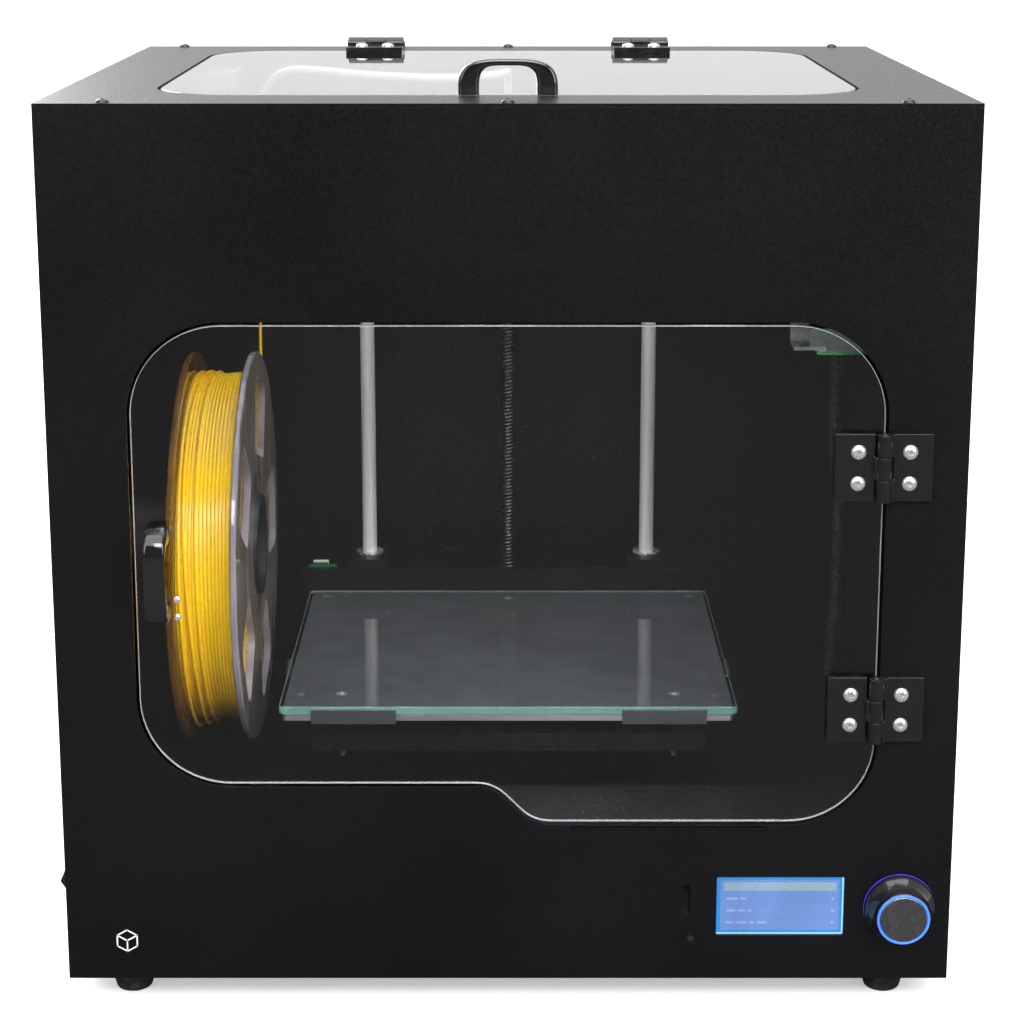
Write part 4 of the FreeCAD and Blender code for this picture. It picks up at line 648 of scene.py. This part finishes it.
def stroke(start, end, wide, face, thick):
    """A straight flat stroke between two points of the front panel, as a four-sided bar."""
    start, end = np.array(start), np.array(end)
    way = (end - start) / np.linalg.norm(end - start)
    side = np.array([-way[1], way[0]]) * wide / 2
    ends = np.array([start - way * wide / 2, end + way * wide / 2])
    outline = np.stack([ends + side, ends - side], axis=1)
    left, right = outline[:, 0], outline[:, 1]
    corners = [np.stack([flat[:, 0], np.full(2, depth), flat[:, 1]], axis=-1)
               for flat, depth in ((left, face), (right, face), (right, face + thick),
                                   (left, face + thick))]
    return skin(np.stack(corners, axis=1))


mark_paint = finish("mark_paint", (0.72, 0.72, 0.74), 0.45)
worn(mark_paint, 900, 0.38, 0.55)
cube_mid, cube_half = np.array([-0.173, 0.0325]), 0.0052
spoke = [cube_mid + cube_half * np.array([math.sin(a), math.cos(a)])
         for a in np.arange(6) * math.pi / 3]
line_wide, line_face, line_thick = 0.0006, front_face - 0.00006, 0.00012
mark_lines = [stroke(spoke[n], spoke[(n + 1) % 6], line_wide, line_face, line_thick)
              for n in range(6)]
mark_lines += [stroke(cube_mid, spoke[n], line_wide, line_face, line_thick) for n in (1, 3, 5)]
make_piece("cube_mark", mark_lines, mark_paint, "frame")

knob_x, knob_z, knob_base, knob_out, knob_gap = 0.177, 0.049, 0.0162, 0.014, 0.0012
ring_outer, ring_inner, shaft_bore = 0.0119, 0.0108, 0.0032
knob_centre = (knob_x, front_face, knob_z)
seat, flare_low, flare_high = knob_out - 0.0022, 0.0034, knob_out - 0.0012
lip, base_round = 0.0003, 0.0005

flare = np.linspace(0, 1, 14)
flare_radius = ring_outer + lip + (knob_base - ring_outer - lip) * (1 - flare) ** 2.2
flare_height = flare_low + (flare_high - flare_low) * flare ** 0.85
knob_body = [(shaft_bore, knob_gap), (knob_base - base_round, knob_gap),
             (knob_base, knob_gap + base_round), (knob_base, 0.0030)]
knob_body += list(zip(flare_radius, flare_height))
knob_body += [(ring_outer, knob_out - 0.0008), (ring_outer, seat), (shaft_bore, seat)]
knob_piece = make_piece("knob_body", [lathe(
    knob_body + knob_body[:1], knob_centre, towards_front)], gloss_black, "knob")
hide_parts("knob")

ring_glow = finish("knob_light_ring", (0.05, 0.10, 0.2), 0.3, {
    "Emission Color": (0.015, 0.15, 1.0, 1), "Emission Strength": 1.4})
feed(ring_glow, "Emission Strength", blend_value(ring_glow, grain(ring_glow, 130, 1), 1.1, 1.8))
ring_edge, ring_shoulder, ring_top = ring_outer - 0.0001, knob_out - 0.0006, knob_out - 0.0002
ring_round = 0.0004
ring_profile = [(ring_inner, seat), (ring_edge, seat), (ring_edge, ring_shoulder),
                (ring_edge - ring_round, ring_top), (ring_inner + ring_round, ring_top),
                (ring_inner, ring_shoulder)]
# Painted glow: a thin emitting ring in the gap under the knob's base, standing in for the light
# ring's light spilling onto the panel and the flare.
spill_glow_paint = finish("knob_painted_spill_glow", (0.05, 0.03, 0.2), 0.3, {
    "Emission Color": (0.10, 0.05, 1.0, 1), "Emission Strength": 0.9})
feed(spill_glow_paint, "Emission Strength", blend_value(spill_glow_paint, grain(spill_glow_paint, 90, 1), 0.3, 1.6))
rim_inner, rim_low = 0.0148, 0.0007
rim_profile = [(rim_inner, rim_low), (knob_base, rim_low), (knob_base, knob_gap),
               (rim_inner, knob_gap)]
knob_spill_glow = make_piece("knob_painted_spill_glow", [lathe(
    rim_profile + rim_profile[:1], knob_centre, towards_front)], spill_glow_paint, "knob")
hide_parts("knob")
knob_ring = make_piece("knob_light_ring", [lathe(
    ring_profile + ring_profile[:1], knob_centre, towards_front)], ring_glow, "knob")
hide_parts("knob")

spun_metal = finish("spun_metal", (0.30, 0.30, 0.31), 0.3, {"Metallic": 1.0})
groove_step, groove_deep = 0.00022, 0.000027
dial_edge, dial_top = ring_inner - 0.0001, knob_out - 0.0004
face_radii = np.arange(0.0004, ring_inner - lip, groove_step / 2)
face_heights = dial_top + groove_deep * np.cos(np.arange(len(face_radii)) * np.pi)
face_profile = [(0, seat), (dial_edge, seat), (dial_edge, knob_out - 0.0007)]
face_profile += list(zip(face_radii[::-1], face_heights[::-1])) + [(0, dial_top)]
knob_dial = make_piece("knob_spun_face", [lathe(
    face_profile, knob_centre, towards_front, 72)], spun_metal, "knob", 60)
worn(spun_metal, 600, 0.22, 0.4)
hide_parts("knob")
dress(bright_steel, "knob_shaft")


# ---- mains inlet, rocker and feet ----
# The inlet is a glossy moulding clipped into the left side, with plated pins and a rocker over
# it. The feet are moulded rubber, screwed under the case, scuffed where they stand.
dress(gloss_black, "power_inlet", "rocker_switch")
rubber = finish("foot_rubber", (0.014, 0.014, 0.014), 0.75)
rubber_scuff = grain(rubber, 260, 5)
feed(rubber, "Base Color", blend_colour(
    rubber, blend_value(rubber, rubber_scuff, 0, 1, 0.5, 0.8), (0.012, 0.012, 0.012),
    (0.045, 0.044, 0.042)))
raise_surface(rubber, rubber_scuff, 0.0002)
dress(rubber, "rubber_feet")


# ---- guides, clamps, motors and belts ----
# Hard chromed rods in black moulded clamps; steppers with laminated bodies between cast ends; and
# toothed rubber belts, whose teeth face inwards.
chrome = finish("hard_chrome", (0.90, 0.90, 0.92), 0.2, {"Metallic": 0.3})
chrome_wear = grain(chrome, 90, 3, (1, 1, 0.15))
feed(chrome, "Roughness", blend_value(chrome, chrome_wear, 0.16, 0.26))
dress(chrome, "guide_rods", "x_rods")
dress(satin_black, "rod_clamps")


def stepper_paint(name, axis, low, high):
    """A stepper's finish: dark pressed laminations between two cast aluminium ends."""
    material = finish(name, (0.03, 0.03, 0.03), 0.45, {"Metallic": 1.0})
    middle = band(material, axis, low + cast_end, high - cast_end)
    feed(material, "Base Color", blend_colour(
        material, middle, (0.55, 0.55, 0.56), (0.03, 0.03, 0.032)))
    stretch = tuple(4 if letter == axis else 0.05 for letter in "XYZ")
    layers = grain(material, 500, 1, stretch)
    feed(material, "Roughness", blend_value(material, layers, 0.32, 0.5))
    raise_surface(material, layers, 0.00008)
    return material


cast_end = 0.009
dress(stepper_paint("feed_motor_paint", "Y", 0.0388, 0.0868), "feed_motor")
dress(stepper_paint("x_motor_paint", "Z", 0.358, 0.401), "x_motor")
dress(stepper_paint("frame_motor_paint", "Z", 0.0155, 0.045), "frame_motors")

teeth_scale = 79.6
belt_rubber = finish("belt_rubber", (0.015, 0.015, 0.016), 0.6)
belt_space = mix_in(belt_rubber, "ShaderNodeTexCoord", {})
belt_teeth = mix_in(belt_rubber, "ShaderNodeTexWave", {"Scale": teeth_scale, "Distortion": 0.0},
                    {"Vector": belt_space.outputs["Object"]})
belt_teeth.bands_direction = "DIAGONAL"
raise_surface(belt_rubber, belt_teeth.outputs["Fac"], 0.0005)
worn(belt_rubber, 300, 0.5, 0.75)
dress(belt_rubber, "y_belts", "x_belt")
dress(bright_steel, "drive_shaft")


# ---- light board and wire loom ----
# A strip of white chips on a green board hangs from a small steel bracket in the window's top
# corner. The loom is a woven black sleeve that carries the gantry's wires up the right wall.
chip_white = finish("chip_white", (0.75, 0.74, 0.66), 0.35)
worn(chip_white, 700, 0.28, 0.45)
chip_low, chip_half, chip_thick, chip_front, chip_rear = 0.3025, 0.0016, 0.0006, -0.1415, -0.103
chip_spots = [(x, y) for x in (0.1385, 0.1455, 0.1525)
              for y in np.linspace(chip_front, chip_rear, 6)]
chip_corners = np.array([(-1, -1), (1, -1), (1, 1), (-1, 1)]) * chip_half


def chip(x, y):
    """A low square chip under the board: two square rings and a smaller bottom one."""
    rings = [np.column_stack([chip_corners * size + (x, y), np.full(4, z)]) for size, z in (
        (1, chip_low), (1, chip_low - chip_thick * 0.8), (0.8, chip_low - chip_thick))]
    return skin(np.array(rings))


make_piece("light_chips", [chip(x, y) for x, y in chip_spots], chip_white, "frame")
board_top, bracket_top = 0.3041, 0.3300
bracket_paint = finish("light_board_paint", (0.5, 0.5, 0.5), 0.35)
bracket_split = band(bracket_paint, "Z", board_top, bracket_top, crisp)
bracket_grain = grain(bracket_paint, 420, 2)
feed(bracket_paint, "Base Color", blend_colour(
    bracket_paint, bracket_split, (0.012, 0.11, 0.04), (0.30, 0.30, 0.31)))
feed(bracket_paint, "Metallic", bracket_split)
raise_surface(bracket_paint, bracket_grain, 0.00006)
dress(bracket_paint, "light_board")


def tube_along(name, points, radius, material, body):
    """A round tube of this radius along a smooth curve drawn to these points, with closed ends."""
    curve = bpy.data.curves.new(name, "CURVE")
    curve.dimensions = "3D"
    spline = curve.splines.new("NURBS")
    spline.points.add(len(points) - 1)
    for place, point in zip(spline.points, points):
        place.co = (*point, 1)
    spline.order_u = 3
    spline.use_endpoint_u = True
    curve.resolution_u = 12
    curve.bevel_depth, curve.bevel_resolution, curve.use_fill_caps = radius, 5, True
    drawn = bpy.data.objects.new(name, curve)
    bpy.context.collection.objects.link(drawn)
    mesh = bpy.data.meshes.new_from_object(drawn)
    bpy.data.objects.remove(drawn)
    mesh.materials.clear()
    mesh.materials.append(material)
    mesh.polygons.foreach_set("use_smooth", [True] * len(mesh.polygons))
    piece = bpy.data.objects.new(name, mesh)
    bpy.context.collection.objects.link(piece)
    if body:
        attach(piece, body)
    return piece


sleeve = finish("woven_sleeve", (0.02, 0.02, 0.021), 0.42)
sleeve_space = mix_in(sleeve, "ShaderNodeTexCoord", {})
weave = mix_in(sleeve, "ShaderNodeTexVoronoi", {"Scale": 620}, {
    "Vector": sleeve_space.outputs["Object"]})
# Lighter at the middle of each weave cell and darker at its edges: the weave's own pattern, with
# painted sheen on the strands and painted shade between them, over the weave's bump.
feed(sleeve, "Base Color", blend_colour(
    sleeve, blend_value(sleeve, weave.outputs["Distance"], 0, 1, 0.1, 0.6),
    (0.07, 0.07, 0.072), (0.006, 0.006, 0.006)))
raise_surface(sleeve, weave.outputs["Distance"], 0.0005)
loom_points = ((0.186, 0.143, 0.0528), (0.1855, 0.143, 0.072), (0.188, 0.142, 0.100),
               (0.1886, 0.1426, 0.136), (0.187, 0.143, 0.172), (0.1844, 0.1434, 0.206),
               (0.1846, 0.1432, 0.246), (0.184, 0.143, 0.282), (0.184, 0.143, 0.3458))
loom_radius = 0.003
loom = tube_along("wire_loom_sleeve", loom_points, loom_radius, sleeve, "frame")
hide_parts("wire_loom")


# ---- spool and its filament ----
# Smoky clear polycarbonate flanges on a hub that turns on the wall's holder; the left flange is
# painted in the amber of the yellow winding seen through it. The yellow filament
# is wound in close turns, a few of them slack, and one strand leads up to the guide tube.
spool_low, spool_high = [np.array(corner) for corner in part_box("spool")]
spool_y, spool_z = (spool_low[1] + spool_high[1]) / 2, (spool_low[2] + spool_high[2]) / 2
wound_left, wound_right, wound_turns = -0.1603, -0.1332, 15
wound_radius, hub_radius, strand_wide, ridge_deep = 0.0893, 0.0384, 0.00175, 0.00045

smoky = clear_sheet("smoky_polycarbonate", (0.46, 0.41, 0.37), 1.58, (0.6, 0.58, 0.56), "X",
                    (0.34, 0.32, 0.38), 0.55)
smoky_inputs = smoky.node_tree.nodes["Principled BSDF"].inputs
left_flange = band(smoky, "X", spool_low[0] - 0.001, wound_left + 0.0002, crisp)
flange_haze = blend_value(smoky, grain(smoky, 70, 3, (1, 1, 0.4)), 0.30, 0.85, 0.35, 0.65)
plain_tint = smoky_inputs["Base Color"].links[0].from_socket
plain_clear = smoky_inputs["Transmission Weight"].links[0].from_socket
# Painted colour: the left flange takes the amber of the yellow winding seen through it, in place of
# its own smoky tint.
painted_winding_tint = (0.20, 0.085, 0.012)
feed(smoky, "Base Color", blend_colour(smoky, left_flange, plain_tint, painted_winding_tint))
haze = mix_in(smoky, "ShaderNodeMath", {}, {0: plain_clear, 1: flange_haze})
haze.operation = "MULTIPLY"
feed(smoky, "Transmission Weight", haze.outputs[0])
dress(smoky, "spool")
dress(satin_black, "spool_holder")

yellow = finish("yellow_filament", (1.0, 0.66, 0.002), 0.28, {
    "Subsurface Weight": 0.15, "Subsurface Scale": 0.001, "Coat Weight": 0.25})
yellow_drift = grain(yellow, 40, 2)
feed(yellow, "Base Color", blend_colour(
    yellow, blend_value(yellow, yellow_drift, 0, 1), (1.0, 0.55, 0.0), (1.0, 0.64, 0.001)))
worn(yellow, 300, 0.22, 0.4)


def wound_band():
    """The winding as rings round the axle: a flat left side, a ridged rim, a flat right side and
    the bore. Each turn's top is a half circle, set by how far the point is across the turn; the
    turns step over by one for each trip round, and the rim swells by slow sines."""
    turn = np.linspace(0, 2 * np.pi, 240, endpoint=False)[None]
    across = np.linspace(0, 1, wound_turns * 8 + 1)[:, None]
    wide = wound_right - wound_left
    swing = 0.22 * np.sin(2 * turn + 7 * across) + 0.06 * np.sin(5 * turn + 2.0)
    strand = across * wide / strand_wide - turn / (2 * np.pi) + swing
    ridge = np.sqrt(np.clip(1 - (2 * (strand % 1) - 1) ** 2, 0, 1))
    swell = 0.0003 * np.sin(2 * turn + 5 * across) - 0.0003 * np.cos(6.28 * across) ** 2
    radius = wound_radius + swell + ridge_deep * (ridge - 1)
    place = wound_left + wide * across + 0 * turn
    inner = hub_radius + 0 * turn
    radius = np.concatenate([inner, radius, inner])
    place = np.concatenate([place[:1], place, place[-1:]])
    return place, spool_y + radius * np.cos(turn), spool_z + radius * np.sin(turn)


band_grid = np.stack(wound_band(), axis=-1)
band_shell = skin(np.concatenate([band_grid, band_grid[:1]]))


def slack_turn(x, lean, droop, reach):
    """One loose turn round the winding: a circle whose radius grows towards the bottom by the
    droop, drifting across by the lean, with a small round section."""
    turn = np.linspace(0, 2 * np.pi, 160, endpoint=False)[:, None]
    section = np.linspace(0, 2 * np.pi, 10, endpoint=False)[None]
    radius = wound_radius + reach + droop * np.clip(-np.sin(turn), 0, 1) ** 2
    radius = radius + strand_wide / 2 * np.cos(section)
    place = x + lean * np.sin(turn * 2) + strand_wide / 2 * np.sin(section)
    grid = np.stack([
        place, spool_y + radius * np.cos(turn), spool_z + radius * np.sin(turn)], axis=-1)
    return skin(np.concatenate([grid, grid[:1]]))


slack = [slack_turn(-0.1584, 0.0006, 0.0042, 0.0001), slack_turn(-0.1548, 0.0022, 0.0026, 0.0003),
         slack_turn(-0.1500, 0.0010, 0.0010, 0.0000)]
winding = make_piece("filament_winding_turns", [band_shell] + slack, yellow, "spool",
                     180)
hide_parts("filament_winding")

strand_points = ((-0.137, 0.1184, 0.166), (-0.137, 0.1212, 0.196), (-0.137, 0.1252, 0.240),
                 (-0.137, 0.1290, 0.280), (-0.137, 0.13075, 0.299))
strand = tube_along(
    "filament_strand", strand_points, strand_wide / 2, yellow, "frame")
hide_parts("filament_run")

tube_clear = finish("guide_tube", (0.80, 0.78, 0.70), 0.3, {"Subsurface Weight": 0.3,
                                                            "Subsurface Scale": 0.002})
worn(tube_clear, 250, 0.22, 0.4)
tube_radius, tube_meet = 0.002, (-0.010, 0.032, 0.405)
rear_run = ((-0.137, 0.13075, 0.300), (-0.137, 0.13075, 0.346), (-0.135, 0.127, 0.384),
            (-0.122, 0.106, 0.402), (-0.098, 0.068, 0.405), (-0.072, 0.034, 0.405),
            (-0.038, 0.017, 0.405), (-0.022, 0.021, 0.405), tube_meet)
head_run = (tube_meet, (-0.004, 0.0375, 0.405), (0, 0.060, 0.4045), (0, 0.0805, 0.402),
            (0, 0.08075, 0.388))
rear_tube = tube_along("guide_tube_rear", rear_run, tube_radius, tube_clear, None)
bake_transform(rear_tube)
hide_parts("filament_run")
head_tube = tube_along("guide_tube_head", head_run, tube_radius, tube_clear, None)
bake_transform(head_tube)
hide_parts("filament_run")


# ---- bed ----
# A folded steel tray on two bronze-lined bearings carries an aluminium heater with a graphite
# face, a pane of green-edged glass held by four clips, and three sprung levelling screws.
dress(powder_coat, "bed_carriage")
dress(bright_steel, "bed_bearings")

heater_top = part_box("heat_bed")[1][2]
graphite = finish("graphite_heater", (0.1, 0.1, 0.105), 0.42)
graphite_top = band(graphite, "Z", heater_top - 0.0004, heater_top + 0.001, crisp)
graphite_mottle = grain(graphite, 55, 4)
face_grey = blend_colour(graphite, blend_value(graphite, graphite_mottle, 0, 1),
                         (0.135, 0.135, 0.15), (0.18, 0.18, 0.195))
feed(graphite, "Base Color", blend_colour(graphite, graphite_top, (0.66, 0.66, 0.67), face_grey))
feed(graphite, "Metallic", blend_value(graphite, graphite_top, 1.0, 0.0, 0, 1))
raise_surface(graphite, grain(graphite, 900), 0.00004)
dress(graphite, "heat_bed")

glass = clear_sheet("bed_glass", (0.99, 0.995, 0.995), 1.52, (0.92, 0.94, 0.94), "Z",
                    (0.32, 0.74, 0.62), 0.7)
glass_ease, clip_ease = 0.0005, 0.0003
eased("glass_plate", "bed", glass, glass_ease, 1)

clip_paint = finish("spring_clip", (0.075, 0.08, 0.088), 0.38, {"Metallic": 0.6})
worn(clip_paint, 500, 0.3, 0.48)
raise_surface(clip_paint, grain(clip_paint, 300), 0.00003)
eased("bed_clips", "bed", clip_paint, clip_ease)

level_x, level_front, level_rear = 0.081, front_face + 0.098, front_face + 0.250
level_spots = [(-level_x, level_front), (level_x, level_front), (0.0, level_rear)]
level_foot, shank_radius, shank_long = 0.084, 0.0015, 0.0271
head_radius, head_top, key_radius, key_floor = 0.0028, 0.0286, 0.0013, 0.0278
spring_low, spring_high, spring_radius, spring_wire = 0.1024, 0.1092, 0.0034, 0.00045


def coil(centre, low, high, radius, wire, rounds):
    """A wire whose middle line climbs evenly while it goes round; its section lies across it."""
    turn = np.linspace(0, 2 * np.pi * rounds, int(36 * rounds) + 1)[:, None]
    section = np.linspace(0, 2 * np.pi, 10, endpoint=False)[None]
    rise = low + wire + (high - low - 2 * wire) * turn / (2 * np.pi * rounds)
    reach = radius + wire * np.cos(section)
    grid = np.stack([centre[0] + reach * np.cos(turn), centre[1] + reach * np.sin(turn),
                     rise + wire * np.sin(section)], axis=-1)
    return skin(grid)


level_shells = []
for x, y in level_spots:
    level_shells.append(coil((x, y), spring_low, spring_high, spring_radius, spring_wire, 3.5))
    level_shells.append(lathe([
        (0, 0), (shank_radius, 0), (shank_radius, shank_long), (head_radius, head_top),
        (key_radius, head_top), (key_radius, key_floor), (0, key_floor)],
        (x, y, level_foot), sides=40))
levels = make_piece("level_screws_and_springs", level_shells, bright_steel, "bed")
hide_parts("level_screws")
dress(satin_black, "thumb_wheel_1", "thumb_wheel_2", "thumb_wheel_3")

plug_white = finish("plug_white", (0.78, 0.76, 0.68), 0.4)
plug_front, plug_rear = 0.1098, 0.1300
plug_band = band(plug_white, "Y", plug_front, plug_rear, crisp)
feed(plug_white, "Base Color", blend_colour(
    plug_white, plug_band, (0.012, 0.11, 0.045), (0.80, 0.79, 0.72)))
worn(plug_white, 600, 0.3, 0.5)
dress(plug_white, "bed_connector")


# ---- lead screw ----
# A blackened steel screw with a two-start trapezoidal thread, standing in an aluminium coupler
# that clamps it to the motor below.
thread_pitch, thread_starts, thread_deep = 0.002, 2, 0.0005
screw_low, screw_high, screw_y, screw_radius = 0.067, 0.318, front_face + 0.278, 0.004


def thread():
    """Rings up the screw: the radius rises and falls across each pitch as a clipped triangle
    wave, and the wave's place moves round with the angle by one pitch for each start."""
    rows = int((screw_high - screw_low) / thread_pitch * 8)
    height = np.linspace(screw_low, screw_high, rows)[:, None]
    turn = np.linspace(0, 2 * np.pi, 24, endpoint=False)[None]
    phase = height / thread_pitch - thread_starts * turn / (2 * np.pi)
    wave = np.abs(2 * (phase % 1) - 1)
    radius = screw_radius - thread_deep * np.clip(2.4 * wave - 0.7, 0, 1)
    return skin(np.stack([radius * np.cos(turn), screw_y + radius * np.sin(turn),
                          height + 0 * turn], axis=-1))


oiled_steel = finish("oiled_steel", (0.10, 0.10, 0.105), 0.3, {"Metallic": 1.0})
worn(oiled_steel, 160, 0.22, 0.42)
screw_thread = make_piece(
    "lead_screw_thread", [thread()], oiled_steel, "lead_screw", 60)
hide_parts("lead_screw")

cast = finish("aluminium", (0.60, 0.60, 0.61), 0.34, {"Metallic": 1.0})
cast_grain = grain(cast, 600, 3)
feed(cast, "Roughness", blend_value(cast, cast_grain, 0.26, 0.44))
raise_surface(cast, cast_grain, 0.00003)
coupler_low, coupler_top, coupler_step = 0.0515, 0.024, 0.015
coupler_radius, coupler_neck, coupler_bore, coupler_socket = 0.0095, 0.0091, 0.0026, 0.0041
slot_wide, slot_edge, coupler_round = 0.0012, 0.0003, 0.0004
coupler_profile = [(coupler_bore, 0), (coupler_neck, 0), (coupler_radius, coupler_round)]
for slot_low in (0.0095, 0.0133):
    slot_high = slot_low + slot_wide
    coupler_profile += [(coupler_radius, slot_low), (coupler_neck, slot_low + slot_edge),
                        (coupler_neck, slot_high - slot_edge), (coupler_radius, slot_high)]
coupler_profile += [
    (coupler_radius, coupler_top - coupler_round), (coupler_neck, coupler_top),
    (coupler_socket, coupler_top), (coupler_socket, coupler_step), (coupler_bore, coupler_step),
    (coupler_bore, 0)]
coupler = make_piece("lead_screw_coupler", [lathe(
    coupler_profile, (0, screw_y, coupler_low), sides=64)], cast, "lead_screw")
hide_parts("lead_screw")


# ---- gantry and print head ----
# Black moulded ends slide on the side rods and carry the cross rods; the head hangs on these with
# its feed motor, finned hot end with a brass-coloured nozzle, and two fans.
dress(satin_black, "gantry_ends", "head_carriage", "cooling_fans", "fan_rotor", "idler_lever")
dress(cast, "x_pulley", "power_supply")
brass = finish("brass", (0.78, 0.55, 0.22), 0.28, {"Metallic": 1.0})
worn(brass, 500, 0.2, 0.4)
dress(brass, "feed_gear")
hot_metal = finish("hot_end_metal", (0.62, 0.62, 0.63), 0.32, {"Metallic": 1.0})
block_low, block_high = 0.290, 0.2999
nozzle_band = band(hot_metal, "Z", block_low, block_high)
feed(hot_metal, "Base Color", blend_colour(
    hot_metal, nozzle_band, (0.62, 0.62, 0.63), (0.80, 0.55, 0.20)))
worn(hot_metal, 450, 0.22, 0.42)
dress(hot_metal, "hot_end")
